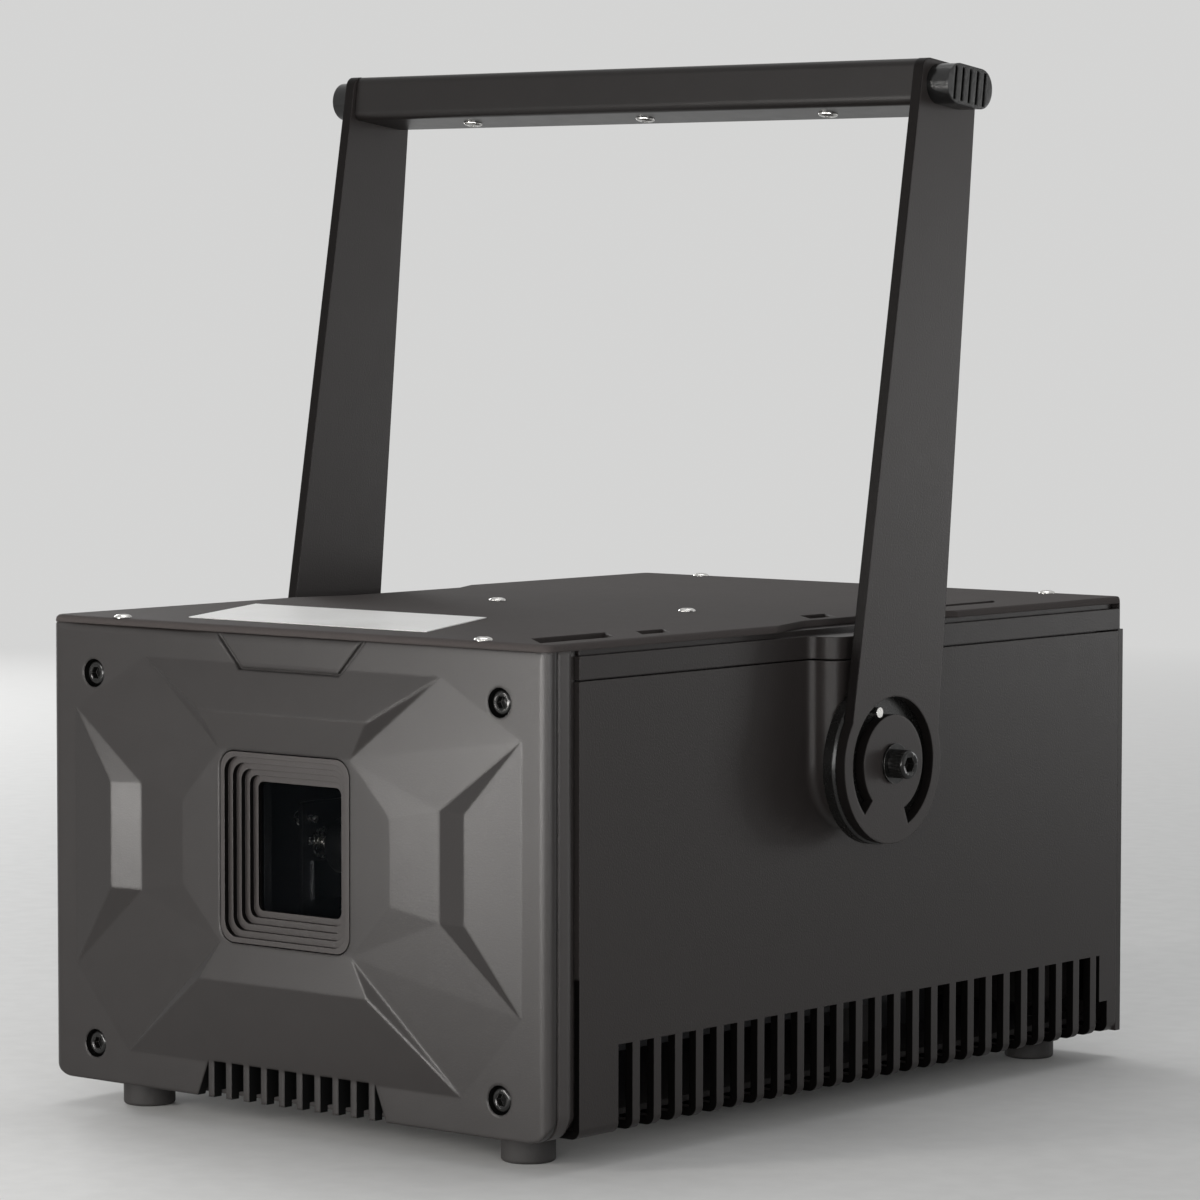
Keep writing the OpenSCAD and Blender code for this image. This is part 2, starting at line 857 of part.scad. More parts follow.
// Plan of the rim's outer edge, drawn in by an inset
module rim_plan(inset) {
    translate([0, (side_front + half_d) / 2]) difference() {
        square([case_w - 2 * inset, half_d - side_front - 2 * inset], center = true);
        for (s = [-1, 1])
            translate([s * (half_w - inset), (half_d - side_front) / 2 - inset]) difference() {
                square(2 * rear_r, center = true);
                translate([-s * rear_r, -rear_r]) circle(rear_r);
            }
    }
}

module upper_rim() {
    color([0.25, 0.24, 0.235]) on_feet() difference() {
        union() {
            translate([0, 0, side_top + rim_gap]) linear_extrude(rim_h) {
                rim_plan(0);
                bulge_plan();
                mirror([1, 0]) bulge_plan();
            }
            translate([0, 0, side_top - rim_down]) linear_extrude(case_h - side_top + rim_down) intersection() {
                rim_plan(side_t + fit);
                translate([-half_w, side_front]) square([case_w, rear_y - rear_post - fit - side_front]);
            }
            translate([0, 0, side_top + rim_gap]) linear_extrude(case_h - side_top - rim_gap) {
                rim_plan(rim_lip);
                intersection() {
                    rim_plan(0);
                    translate([-half_w, half_d - rim_lip]) square([case_w, rim_lip]);
                }
            }
        }
        translate([-half_w + rim_inner, side_front + rim_inner, 0])
            cube([case_w - 2 * rim_inner, half_d - side_front - 2 * rim_inner, case_h + over]);
        cover_screw_places() cover_screw_hole();
    }
}

module cover_screw_places() {
    for (x = [-cover_screw_x, cover_screw_x], y = [front_y + cover_screw_edge, half_d - cover_screw_edge])
        translate([x, y, case_h + cover_t]) children();
    for (x = [-cover_mid_x, cover_mid_x]) translate([x, cover_mid_y, case_h + cover_t]) children();
}

module cover_screw_hole() {
    translate([0, 0, -cover_head_h]) cylinder(h = cover_head_h + over, d = cover_head_d + 2 * fit);
    translate([0, 0, -cover_t - 2 * cover_bolt_d]) cylinder(h = cover_t + 2 * cover_bolt_d, d = cover_bolt_d + 2 * fit);
}

module cover_screws() {
    color([0.5, 0.5, 0.5]) on_feet() cover_screw_places() translate([0, 0, -cover_head_h])
        cap_screw(cover_bolt_d, cover_head_d, cover_head_h, cover_t + cover_bolt_d, 2);
}

// A slot through the cover, long from front to rear, with slanted ends
module cover_slot(x, y, wide, long, slant) {
    translate([x, y, case_h - over]) linear_extrude(cover_t + 2 * over) slanted(wide, long, slant);
}

// Plan with straight sides whose ends run forward by the slant from left to right
module slanted(wide, long, slant) {
    polygon([[-wide / 2, (slant - long) / 2], [wide / 2, (-slant - long) / 2],
             [wide / 2, (long - slant) / 2], [-wide / 2, (long + slant) / 2]]);
}

module top_cover() {
    color([0.26, 0.25, 0.245]) on_feet() difference() {
        hull() {
            for (a = [0, 30, 60, 90])
                translate([0, 0, case_h + cover_t - cover_r + cover_r * sin(a) - fit]) linear_extrude(fit)
                    cover_plan(cover_r * (1 - cos(a)));
            translate([0, 0, case_h]) linear_extrude(fit) cover_plan(0);
        }
        for (s = [-1, 1])
            translate([0, 0, case_h - over]) linear_extrude(cover_t + 2 * over) polygon([
                [s * (half_w + over), cover_cut_front - over], [s * half_w, cover_cut_front],
                [s * (half_w - cover_cut), cover_cut_front + 3 * cover_cut],
                [s * (half_w - cover_cut), cover_cut_rear - 2 * cover_cut],
                [s * half_w, cover_cut_rear], [s * (half_w + over), cover_cut_rear + over]]);
        cover_slot(99, front_y + 32, 16, 38, 14);
        cover_slot(101, front_y + 71, 11, 14, 10);
        cover_slot(96, 3, 12, 14, 10);
        cover_slot(97, 94, 6, 32, 6);
        cover_screw_places() cover_screw_hole();
    }
}

// Plan of the cover with its round corners
module cover_plan(inset) {
    for (s = [-1, 1]) {
        translate([s * (half_w - corner_r), front_y + corner_r]) circle(corner_r - inset, $fn = 32);
        translate([s * (half_w - rear_r), half_d - rear_r]) circle(rear_r - inset / 2, $fn = 16);
    }
}

module blank_label() {
    color([0.9, 0.9, 0.88]) on_feet() translate([label_x, label_y, case_h + cover_t])
        linear_extrude(label_t) rotate(-90) slanted(label_d, label_w, -label_slant);
}

module boss_disc() {
    difference() {
        translate([bulge_x, 0, 0]) rotate([0, 90, 0]) rotate_extrude() polygon([
            [0, 0], [boss_r, 0], [boss_r, boss_t - boss_edge], [boss_r - boss_edge, boss_t], [0, boss_t]]);
        rod_x(bulge_x - over, arm_x, bolt_d + 2 * fit);
        translate([0, stop_y - pivot_y, stop_z - pivot_h]) rod_x(bulge_x - over, arm_x, stop_d + 2 * fit);
    }
}

module pivot_bosses() {
    color([0.07, 0.07, 0.07]) at_pivot() both_sides() boss_disc();
}

module stop_pins() {
    color([0.8, 0.79, 0.76]) on_feet() both_sides() translate([0, stop_y, stop_z])
        rod_x(bulge_x - stop_into + fit, arm_out + stop_proud, stop_d);
}

module pivot_washers() {
    color([0.6, 0.6, 0.6]) at_pivot() both_sides() difference() {
        rod_x(arm_out + arm_gap, arm_out + arm_gap + washer_t, 2 * washer_r);
        rod_x(arm_out, arm_out + 2 * washer_t, bolt_d + 2 * fit);
    }
}

// A pivot bolt with its knurled head outside the washer
module pivot_bolts() {
    head = arm_out + arm_gap + washer_t;
    color([0.2, 0.2, 0.2]) at_pivot() both_sides() difference() {
        union() {
            rod_x(bulge_x - bolt_into, head + over, bolt_d);
            rod_x(head, head + bolt_head_h, bolt_head_d);
        }
        translate([head + bolt_head_h / 2, 0, 0]) rotate([0, 90, 0]) cylinder(h = bolt_head_h, d = bolt_hex, $fn = 6);
        for (i = [0:knurls - 1])
            rotate([i * 360 / knurls, 0, 0]) translate([head + 1, bolt_head_d / 2, 0])
                rotate([45, 0, 0]) cube([bolt_head_h - 2, 0.6, 0.6]);
    }
}

// Side view of an arm, upright, with its pivot at the origin
module arm_outline() {
    circle(arm_r);
    polygon([[-arm_low, 0], [arm_low, 0], [arm_top, arm_high - arm_corner], [-arm_top, arm_high - arm_corner]]);
    translate([0, arm_high - arm_corner]) round_rect(2 * arm_top, 2 * arm_corner, arm_corner - fit);
}

// The curved slot round the pivot, drawn as a ring less the sector that stays
module arm_slot() {
    wedge = 2 * arm_r;
    difference() {
        circle(slot_in + slot_w);
        circle(slot_in);
        polygon([[0, 0], wedge * [cos(slot_to - 360), sin(slot_to - 360)],
                 wedge * [cos((slot_to - 360 + slot_from) / 2), sin((slot_to - 360 + slot_from) / 2)],
                 wedge * [cos(slot_from), sin(slot_from)]]);
    }
}

module yoke_turn() {
    at_pivot() rotate([-yoke_lean, 0, 0]) children();
}

module yoke_arm() {
    difference() {
        along_x(arm_x, arm_out) difference() {
            arm_outline();
            arm_slot();
        }
        rod_x(arm_x - over, arm_out + over, bolt_d + 2 * running);
    }
}

module yoke_arm_right() {
    color([0.3, 0.285, 0.28]) yoke_turn() yoke_arm();
}

module yoke_arm_left() {
    color([0.3, 0.285, 0.28]) yoke_turn() mirror([1, 0, 0]) yoke_arm();
}

// Section of the crossbar, drawn in by an inset
module bar_section(inset) {
    round_rect(bar_d - 2 * inset, bar_h - 2 * inset, bar_round - inset);
}

module bar_screw_places() {
    for (i = [-1:1]) translate([i * bar_screw_gap, 0, yoke_reach - bar_h / 2]) children();
}

module crossbar() {
    color([0.16, 0.155, 0.15]) yoke_turn() difference() {
        along_x(-arm_x, arm_x) translate([0, yoke_reach]) difference() {
            bar_section(0);
            bar_section(bar_wall);
        }
        bar_screw_places() translate([0, 0, -over]) cylinder(h = bar_wall + 2 * over, d = bar_screw_d + 2 * fit);
    }
}

module crossbar_screws() {
    color([0.75, 0.75, 0.75]) yoke_turn() bar_screw_places() mirror([0, 0, 1])
        cap_screw(bar_screw_d, bar_screw_head, bar_screw_h, bar_screw_long, 2.5);
}

// An end cap with upright ribs in its face
module bar_end_caps() {
    wide = bar_d - 2 * cap_in;
    tall = bar_h - 2 * cap_in;
    run = wide - 2 * cap_lip - tall / 2;
    color([0.05, 0.05, 0.05]) yoke_turn() both_sides() difference() {
        along_x(arm_out, arm_out + cap_out) translate([0, yoke_reach]) round_rect(wide, tall, tall / 2 - fit);
        for (i = [0:cap_ribs - 2])
            translate([arm_out + cap_out - cap_rib_deep, (i / (cap_ribs - 2) - 0.5) * run - cap_rib_gap / 2,
                       yoke_reach - tall / 2 + cap_lip])
                cube([cap_rib_deep + over, cap_rib_gap, tall - 2 * cap_lip]);
    }
}

module rear_screw_places() {
    for (x = [-rear_screw_x, rear_screw_x], h = [bay_low + 6, bay_z + bay_tall / 2, side_top - 8])
        translate([x, half_d, h]) rotate([-90, 0, 0]) children();
}

module fan_screw_places() {
    for (s = [-1, 1], i = [-1, 1], j = [-1, 1])
        translate([s * fan_x + i * fan_hole, half_d + guard_wire, fan_z + j * fan_hole])
            rotate([-90, 0, 0]) children();
}

module menu_places() {
    for (i = [0:3]) translate([menu_gap * (i - 1.5), 0, fan_z - menu_down]) children();
}

module rear_panel() {
    color([0.2, 0.19, 0.185]) on_feet() difference() {
        along_y(rear_y, half_d) difference() {
            translate([-half_w, 0]) square([case_w, side_top + rim_gap]);
            translate([0, bay_z]) round_rect(bay_w, bay_tall, bay_r);
            for (s = [-1, 1]) translate([s * fan_x, fan_z]) circle(d = fan_bore);
            translate([0, fan_z + display_up]) round_rect(display_w + 2 * fit, display_tall + 2 * fit, 1);
        }
        menu_places() rod_y(rear_y - over, half_d + over, menu_d + 2 * slack);
        rear_screw_places() translate([0, 0, -2 * rear_t]) cylinder(h = 3 * rear_t, d = rear_screw_d + 2 * fit);
        fan_screw_places() translate([0, 0, -3 * rear_t]) cylinder(h = 4 * rear_t, d = rear_screw_d + 2 * fit);
    }
}

module rear_screws() {
    color([0.12, 0.12, 0.12]) on_feet() {
        rear_screw_places() cap_screw(rear_screw_d, rear_head_d, rear_head_h, rear_screw_long, 2);
        fan_screw_places() cap_screw(rear_screw_d, rear_head_d, crown - guard_wire, rear_screw_long, 2);
    }
}

// The recessed tray behind the opening in the rear panel
module connector_bay() {
    color([0.13, 0.125, 0.12]) on_feet() difference() {
        translate([0, 0, bay_z]) {
            along_y(bay_y - bay_t, bay_y) round_rect(bay_w + 2 * bay_t, bay_tall + 2 * bay_t, bay_r + bay_t);
            along_y(bay_y - bay_t, rear_y) difference() {
                round_rect(bay_w + 2 * bay_t, bay_tall + 2 * bay_t, bay_r + bay_t);
                round_rect(bay_w, bay_tall, bay_r);
            }
            along_y(rear_y - bay_t, rear_y) difference() {
                round_rect(bay_w + 2 * bay_lip, bay_tall + 2 * bay_lip, bay_r + bay_lip);
                round_rect(bay_w, bay_tall, bay_r);
            }
        }
        along_y(bay_y - bay_t - over, bay_y + over) {
            translate([inlet_x, row_low]) round_rect(inlet_body_w + 2 * fit, inlet_body_h + 2 * fit, 2);
            translate([rocker_x, row_low]) round_rect(switch_w + 2 * fit, switch_h + 2 * fit, 1);
            translate([key_x, row_low]) circle(d = key_body_d + 2 * fit);
            for (i = [0, 1]) translate([data_x + i * data_gap, row_low]) circle(d = data_d + 2 * fit);
            for (i = [0, 1])
                translate([control_x + i * control_gap, row_up]) round_rect(control_w + 2 * fit, control_h + 2 * fit, 2);
            translate([network_x, row_up]) round_rect(network_w + 2 * fit, network_h + 2 * fit, network_r);
            translate([interlock_x, row_up]) circle(d = data_d + 2 * fit);
        }
    }
}

module power_inlet() {
    color([0.06, 0.06, 0.06]) on_feet() translate([inlet_x, 0, row_low]) difference() {
        union() {
            along_y(bay_y, bay_y + flange_plate) round_rect(inlet_plate_w, inlet_plate_h, 5);
            along_y(bay_y - inlet_deep - bay_t, bay_y + flange_plate) round_rect(inlet_body_w, inlet_body_h, 2);
        }
        along_y(bay_y - inlet_deep, bay_y + 2 * flange_plate) round_rect(inlet_body_w - inlet_wall, inlet_body_h - inlet_wall - 1, 3);
        for (s = [-1, 1]) translate([s * (inlet_plate_w / 2 - 4), 0, 0])
            rod_y(bay_y - over, bay_y + 2 * flange_plate, 3.4);
    }
}

module inlet_pin_places() {
    translate([0, 0, inlet_pin_rise / 2]) children();
    for (s = [-1, 1]) translate([s * inlet_pin_gap / 2, 0, -inlet_pin_rise / 2]) children();
}

// A round panel socket with a square flange
module round_socket(x, h) {
    translate([x, 0, h]) difference() {
        union() {
            along_y(bay_y, bay_y + flange_plate) round_rect(data_flange, data_flange, 3);
            rod_y(bay_y - socket_body, bay_y + flange_plate, data_d);
        }
        rod_y(bay_y - socket_body + socket_floor, bay_y + 2 * flange_plate, data_d - 2 * socket_wall);
    }
}

module data_pin_places() {
    for (a = [0, 120, 240]) rotate([0, a, 0]) translate([0, 0, -data_pin_r]) children();
}

module data_sockets() {
    color([0.1, 0.1, 0.1]) on_feet() for (i = [0, 1]) round_socket(data_x + i * data_gap, row_low);
}

module interlock_socket() {
    color([0.1, 0.1, 0.1]) on_feet() round_socket(interlock_x, row_up);
}

module contact_pins() {
    color([0.8, 0.68, 0.4]) on_feet() {
        translate([inlet_x, 0, row_low]) inlet_pin_places()
            rod_y(bay_y - inlet_deep, bay_y - 3, pin_d);
        for (p = [[data_x, row_low], [data_x + data_gap, row_low], [interlock_x, row_up]])
            translate([p[0], 0, p[1]]) data_pin_places()
                rod_y(bay_y - socket_body + socket_floor, bay_y - 2, pin_d);
    }
}

module control_sockets() {
    color([0.62, 0.62, 0.6]) on_feet() for (i = [0, 1])
        translate([control_x + i * control_gap, 0, row_up]) difference() {
            union() {
                along_y(bay_y, bay_y + 1) round_rect(control_plate_w, control_plate_h, 2);
                along_y(bay_y - socket_body / 2, bay_y + control_out)
                    round_rect(control_w - 3, control_h - 2.6, 2);
                for (s = [-1, 1]) translate([s * control_nut_x, 0, 0])
                    along_y(bay_y, bay_y + control_out) circle(d = 5, $fn = 6);
            }
            along_y(bay_y + 2, bay_y + control_out + over) round_rect(control_w - 4.4, control_h - 4, 1.4);
            for (s = [-1, 1]) translate([s * control_nut_x, 0, 0])
                rod_y(bay_y + 1, bay_y + control_out + over, 2.6);
            along_y(bay_y + 1, bay_y + 3)
                for (k = [-6:6]) translate([control_pitch * k, control_pitch / 2]) circle(d = 1, $fn = 16);
        }
}

module network_socket() {
    color([0.55, 0.55, 0.55]) on_feet() translate([network_x, 0, row_up]) difference() {
        along_y(bay_y - socket_body, bay_y + flange_plate) round_rect(network_w, network_h, network_r);
        along_y(bay_y - socket_body + network_wall, bay_y + 2 * flange_plate)
            round_rect(network_w - 2 * network_wall, network_h - 2 * network_wall - 1, 0.4);
    }
}

module switch_housing() {
    color([0.07, 0.07, 0.07]) on_feet() translate([rocker_x, 0, row_low]) difference() {
        union() {
            along_y(bay_y, bay_y + flange_plate) round_rect(switch_w + 2 * switch_rim, switch_h + 2 * switch_rim, switch_rim);
            along_y(bay_y - socket_body, bay_y + flange_plate) round_rect(switch_w, switch_h, 1);
        }
        along_y(bay_y - socket_body + 2, bay_y + 2 * flange_plate) round_rect(switch_w - 2 * switch_wall, switch_h - 2 * switch_wall, 0.6);
        translate([0, bay_y - rocker_axis, 0]) rod_x(rocker_grip - switch_w / 2, switch_w / 2 - rocker_grip, rocker_pin);
    }
}

// The rocker turns about X on its two trunnions
module power_rocker() {
    rocker_half = switch_w / 2 - switch_wall - slack;
    color([0.5, 0.06, 0.05]) on_feet() translate([rocker_x, bay_y - rocker_axis, row_low])
        rotate([rocker_tilt, 0, 0]) {
            intersection() {
                rod_x(-rocker_half, rocker_half, switch_h - 2 * switch_wall - 6 * slack);
                translate([-switch_w, -over, -switch_h]) cube([2 * switch_w, 2 * rocker_axis, 2 * switch_h]);
            }
            rod_x(-rocker_half - switch_wall + rocker_grip, rocker_half + switch_wall - rocker_grip, rocker_pin - 2 * running);
        }
}

module key_switch_body() {
    color([0.65, 0.65, 0.64]) on_feet() translate([key_x, 0, row_low]) difference() {
        union() {
            rod_y(bay_y - socket_body, bay_y + flange_plate, key_body_d);
            rod_y(bay_y, bay_y + flange_plate, key_body_d + 2 * key_ring);
        }
        rod_y(bay_y - socket_body + key_floor, bay_y + 2 * flange_plate, key_barrel + 2 * running);
    }
}

// The key stands in its barrel and turns with it about Y
module laser_key() {
    color([0.72, 0.72, 0.7]) on_feet() translate([key_x, 0, row_low]) {
        rod_y(bay_y - socket_body + key_floor + slack, bay_y + flange_plate, key_barrel);
        along_y(bay_y, bay_y + key_out - key_bow_d / 2) square([key_t, key_blade], center = true);
        along_x(-key_t / 2, key_t / 2) translate([bay_y + key_out - key_bow_d / 2 + over, 0]) difference() {
            round_rect(key_bow_d, key_bow_w, key_bow_d / 2 - fit);
            circle(d = key_bow_d / 2);
        }
    }
}

module display_window() {
    color([0.02, 0.03, 0.05]) on_feet() translate([0, 0, fan_z + display_up]) {
        along_y(rear_y - display_t, half_d - slack) round_rect(display_w, display_tall, 1);
        along_y(rear_y - display_t, rear_y) 
            round_rect(display_w + 2 * display_lip, display_tall + 2 * display_lip, 1);
    }
}

// A menu button: its cap stands out of the panel and its collar stays behind it
module menu_button(i) {
    color([0.12, 0.12, 0.12]) on_feet() translate([menu_gap * (i - 1.5), 0, fan_z - menu_down]) {
        rod_y(rear_y - menu_collar, half_d + menu_travel + over, menu_d);
        rod_y(rear_y - menu_collar, rear_y - slack, menu_d + 2 * menu_lip);
    }
}

module menu_button_1() { menu_button(0); }
module menu_button_2() { menu_button(1); }
module menu_button_3() { menu_button(2); }
module menu_button_4() { menu_button(3); }

module fan_frames() {
    color([0.05, 0.05, 0.05]) on_feet() for (s = [-1, 1])
        translate([s * fan_x, 0, fan_z]) difference() {
            union() {
                along_y(fan_front, rear_y) difference() {
                    round_rect(fan_size, fan_size, fan_corner);
                    circle(d = fan_bore);
                }
                along_y(fan_front, fan_front + fan_plate) {
                    circle(d = fan_hub_d);
                    for (a = [45, 135]) rotate(a) square([fan_size * 1.05, fan_strut], center = true);
                }
                rod_y(fan_front, fan_back - fan_cap - slack, fan_pin_d);
            }
            for (i = [-1, 1], j = [-1, 1]) translate([i * fan_hole, 0, j * fan_hole])
                rod_y(fan_front + 2 * fan_plate, rear_y + over, rear_screw_d + 2 * fit);
        }
}

// Rings and four arms of wire over each fan, with an eye at each screw
module fan_guards() {
    color([0.6, 0.6, 0.6]) on_feet() for (s = [-1, 1])
        translate([s * fan_x, half_d, fan_z]) rotate([-90, 0, 0]) {
            for (k = [1:guard_rings])
                translate([0, 0, crown - guard_wire / 2]) rotate_extrude()
                    translate([fan_bore / 2 * k / guard_rings - guard_wire / 2, 0]) rotate(22.5) circle(d = guard_wire, $fn = 8);
            for (a = [45:90:315]) rotate(a) {
                translate([fan_bore / 2 / guard_rings - guard_wire, 0, guard_wire / 2]) rotate([0, 90, 0]) rotate(22.5)
                    cylinder(h = fan_hole * sqrt(2) - fan_bore / 2 / guard_rings - 1, d = guard_wire, $fn = 8);
                translate([fan_hole * sqrt(2), 0, 0]) difference() {
                    cylinder(h = guard_wire, d = guard_eye);
                    translate([0, 0, -over]) cylinder(h = guard_wire + 2 * over, d = rear_screw_d + 2 * fit);
                }
            }
        }
}

module fan_rotor(side) {
    front = fan_front + fan_plate + slack;
    color([0.08, 0.08, 0.08]) on_feet() translate([side * fan_x, 0, fan_z]) difference() {
        union() {
            rod_y(front, fan_back, fan_hub_d);
            intersection() {
                rod_y(front, fan_back, fan_bore - 2);
                for (i = [0:fan_blades - 1])
                    rotate([0, i * 360 / fan_blades, 0]) translate([fan_hub_d / 2 - 1, (front + fan_back) / 2, 0])
                        rotate([fan_tilt, 0, 0]) translate([0, -fan_deep, -blade_t / 2])
                            cube([fan_bore / 2, 2 * fan_deep, blade_t]);
            }
        }
        rod_y(front - over, fan_back - fan_cap, fan_pin_d + 2 * running);
    }
}

module fan_rotor_right() { fan_rotor(1); }
module fan_rotor_left() { fan_rotor(-1); }

// A flat eye standing out of the bay, with its own foot plate
module safety_eye() {
    centre = half_d - eye_r - eye_wall;
    color([0.5, 0.5, 0.5]) on_feet() translate([0, 0, row_low]) difference() {
        union() {
            along_x(eye_x - eye_t / 2, eye_x + eye_t / 2) translate([centre, 0]) {
                circle(eye_r + eye_wall);
                translate([bay_y - centre, -eye_r - eye_wall]) square([centre - bay_y, 2 * (eye_r + eye_wall)]);
            }
            translate([eye_x - eye_foot_w / 2, bay_y, -eye_r - 2 * eye_wall])
                cube([eye_foot_w, eye_foot_t, 2 * eye_r + 4 * eye_wall]);
        }
        translate([0, centre, 0]) rod_x(eye_x - eye_t, eye_x + eye_t, 2 * eye_r);
    }
}

module damper_places() {
    for (x = [-deck_half + damper_in, deck_half - damper_in], y = [deck_front + damper_in, deck_rear - damper_in])
        translate([x, y, 0]) children();
}

module optical_deck() {
    color([0.5, 0.5, 0.5]) on_feet() translate([-deck_half, deck_front, deck_z])
        cube([2 * deck_half, deck_rear - deck_front, deck_t]);
}

module deck_dampers() {
    color([0.08, 0.08, 0.08]) on_feet() damper_places() translate([0, 0, floor_top])
        cylinder(h = deck_z - floor_top, d = damper_d);
}

module laser_modules() {
    color([0.1, 0.1, 0.1]) on_feet() for (i = [0:2])
        translate([laser_x, laser_y(i) - laser_d / 2, deck_top]) difference() {
            cube([laser_long, laser_d, laser_rise]);
            translate([-over, laser_d / 2, beam_h - deck_top]) rod_x(0, 2 * shaft_d, 2 * shaft_d);
            for (k = [2:laser_long / fin_pitch - 2])
                translate([fin_pitch * k, -over, laser_rise - fin_deep])
                    cube([fin_gap, laser_d + 2 * over, fin_deep + over]);
        }
}

function laser_y(i) = deck_front + laser_first + laser_pitch * i;

// An upright plate on a foot, with the beam's window
module mirror_mount(x, y) {
    translate([x, y, deck_top]) {
        difference() {
            translate([-mount_t / 2, 0, 0]) cube([mount_t, mount_w, win_h - deck_top + mount_over]);
            translate([0, mount_w / 2, beam_h - deck_top]) rod_x(-mount_t, mount_t, mount_w / 3);
            adjust_holes();
        }
        translate([-mount_t / 2 - mount_foot, 0, 0]) cube([mount_foot + mount_t / 2, mount_w, mount_foot_t]);
    }
}

module adjust_holes() {
    for (z = [adjust_low, adjust_high])
        translate([0, adjust_in, z]) rod_x(-2 * mount_t, 2 * mount_t, adjust_d + 2 * fit);
}

module mirror_mounts() {
    color([0.12, 0.12, 0.12]) on_feet() {
        mirror_mount(mount_x, mount_y);
        for (i = [0:2]) mirror_mount(mount_x - mirror_shift, laser_y(i) - mount_w / 2);
    }
}

module combining_mirror() {
    translate([0, -mirror_w / 2, -mirror_w / 2]) cube([mirror_t, mirror_w, mirror_w]);
}

module combining_mirrors() {
    color([0.6, 0.7, 0.75]) on_feet() {
        translate([mount_x + mount_t / 2, mount_y + mount_w / 2, beam_h]) combining_mirror();
        for (i = [0:2])
            translate([mount_x - mirror_shift + mount_t / 2, laser_y(i), beam_h]) combining_mirror();
    }
}

// One screw with a round knob outside the plate, and one with a washer and a long shank
module adjusting_screws() {
    color([0.8, 0.8, 0.8]) on_feet() translate([0, mount_y + adjust_in, deck_top]) {
        translate([0, 0, adjust_high]) {
            translate([mount_x - mount_t / 2 - adjust_bead + slack, 0, 0]) rotate([0, 90, 0]) rotate_extrude()
                intersection() {
                    circle(adjust_bead);
                    translate([0, -adjust_bead]) square([adjust_bead, 2 * adjust_bead - slack]);
                }
            rod_x(mount_x - mount_t / 2 - adjust_bead, mount_x + 4, adjust_d);
        }
        translate([0, 0, adjust_low]) {
            rod_x(mount_x - 2, spring_to + 3, adjust_d);
            rod_x(spring_from - 1, spring_from, washer_wide);
        }
    }
}

// Points along the middle of the spring's wire
function spring_point(k) = let (a = 360 * k / spring_rings)
    [spring_from + spring_wire / 2 + spring_lead * k / spring_rings, spring_r * cos(a), spring_r * sin(a)];
spring_path = [for (k = [0:spring_curls * spring_rings]) spring_point(k)];
function spring_ring(k) = let (a = 360 * k / spring_rings, p = spring_path[k])
    [for (s = [0:spring_sides - 1]) let (b = 360 * s / spring_sides)
        [p[0] + spring_wire / 2 * sin(b),
         p[1] + spring_wire / 2 * cos(b) * cos(a),
         p[2] + spring_wire / 2 * cos(b) * sin(a)]];
spring_least_gap = min([for (k = [0:len(spring_path) - 1], m = [k + spring_rings / 2:len(spring_path) - 1])
    norm(spring_path[k] - spring_path[m]) - spring_wire]);
echo("Least gap of the adjusting spring to itself", spring_least_gap);

module adjusting_spring() {
    last = len(spring_path) - 1;
    n = spring_sides;
    rings = [for (k = [0:last]) each spring_ring(k)];
    walls = [for (k = [0:last - 1], s = [0:n - 1]) each
        [[k * n + s, (k + 1) * n + s, (k + 1) * n + (s + 1) % n],
         [k * n + s, (k + 1) * n + (s + 1) % n, k * n + (s + 1) % n]]];
    first_end = [for (s = [1:n - 2]) [0, s, s + 1]];
    last_end = [for (s = [1:n - 2]) [last * n, last * n + s + 1, last * n + s]];
    color([0.85, 0.85, 0.85]) on_feet() translate([0, mount_y + adjust_in, deck_top + adjust_low])
        polyhedron(rings, concat(walls, first_end, last_end));
}

// Block that clamps both scanner motors behind the window
module scanner_bracket() {
    color([0.3, 0.3, 0.3]) on_feet() difference() {
        union() {
            translate([-clamp_half, scan_y - clamp_half, deck_top])
                cube([clamp_half + clamp_x + clamp_l, clamp_half + clamp_y + clamp_l, clamp_foot_t]);
            translate([0, mount_y + adjust_in, deck_top + adjust_low]) rod_x(spring_to, -motor_d / 2 - 1, knob_d);
            translate([-clamp_half, scan_y + clamp_y, deck_top])
                cube([2 * clamp_half, clamp_l, beam_h - deck_top + clamp_half]);
            translate([clamp_x, scan_y - clamp_half, deck_top])
                cube([clamp_l, 2 * clamp_half, win_h - deck_top + clamp_half]);
        }
        translate([0, mount_y + adjust_in, deck_top + adjust_low])
            rod_x(spring_to - over, spring_to + 4, adjust_d + 2 * fit);
        translate([0, 0, beam_h]) rod_y(scan_y, scan_y + 3 * motor_l, motor_d + 2 * fit);
        translate([0, scan_y, win_h]) rod_x(0, 3 * motor_l, motor_d + 2 * fit);
    }
}

module scanner_motor() {
    difference() {
        union() {
            rod_x(0, motor_l, motor_d);
            rod_x(-nose_l, over, motor_nose);
        }
        rod_x(-nose_l - over, motor_l - 4, shaft_d + 2 * running);
    }
}

module scanner_motors() {
    color([0.62, 0.6, 0.58]) on_feet() {
        translate([clamp_x, scan_y, win_h]) scanner_motor();
        translate([0, scan_y + clamp_y, beam_h]) rotate([0, 0, 90]) scanner_motor();
    }
}

// A thin mirror glued to the flat of its shaft, turned to send the beam on
module scan_mirror(reach) {
    difference() {
        rod_x(-mirror_w / 2, reach + motor_l - 6, shaft_d);
        rotate([45, 0, 0]) translate([-mirror_w, 0, -mirror_long])
            cube([1.5 * mirror_w + 1, shaft_d, 2 * mirror_long]);
    }
    rotate([45, 0, 0]) translate([-mirror_w / 2, glue, -mirror_long / 2]) cube([mirror_w, mirror_t, mirror_long]);
}

module scan_mirror_y() {
    color([0.85, 0.85, 0.9]) on_feet() translate([0, scan_y, win_h]) scan_mirror(clamp_x);
}

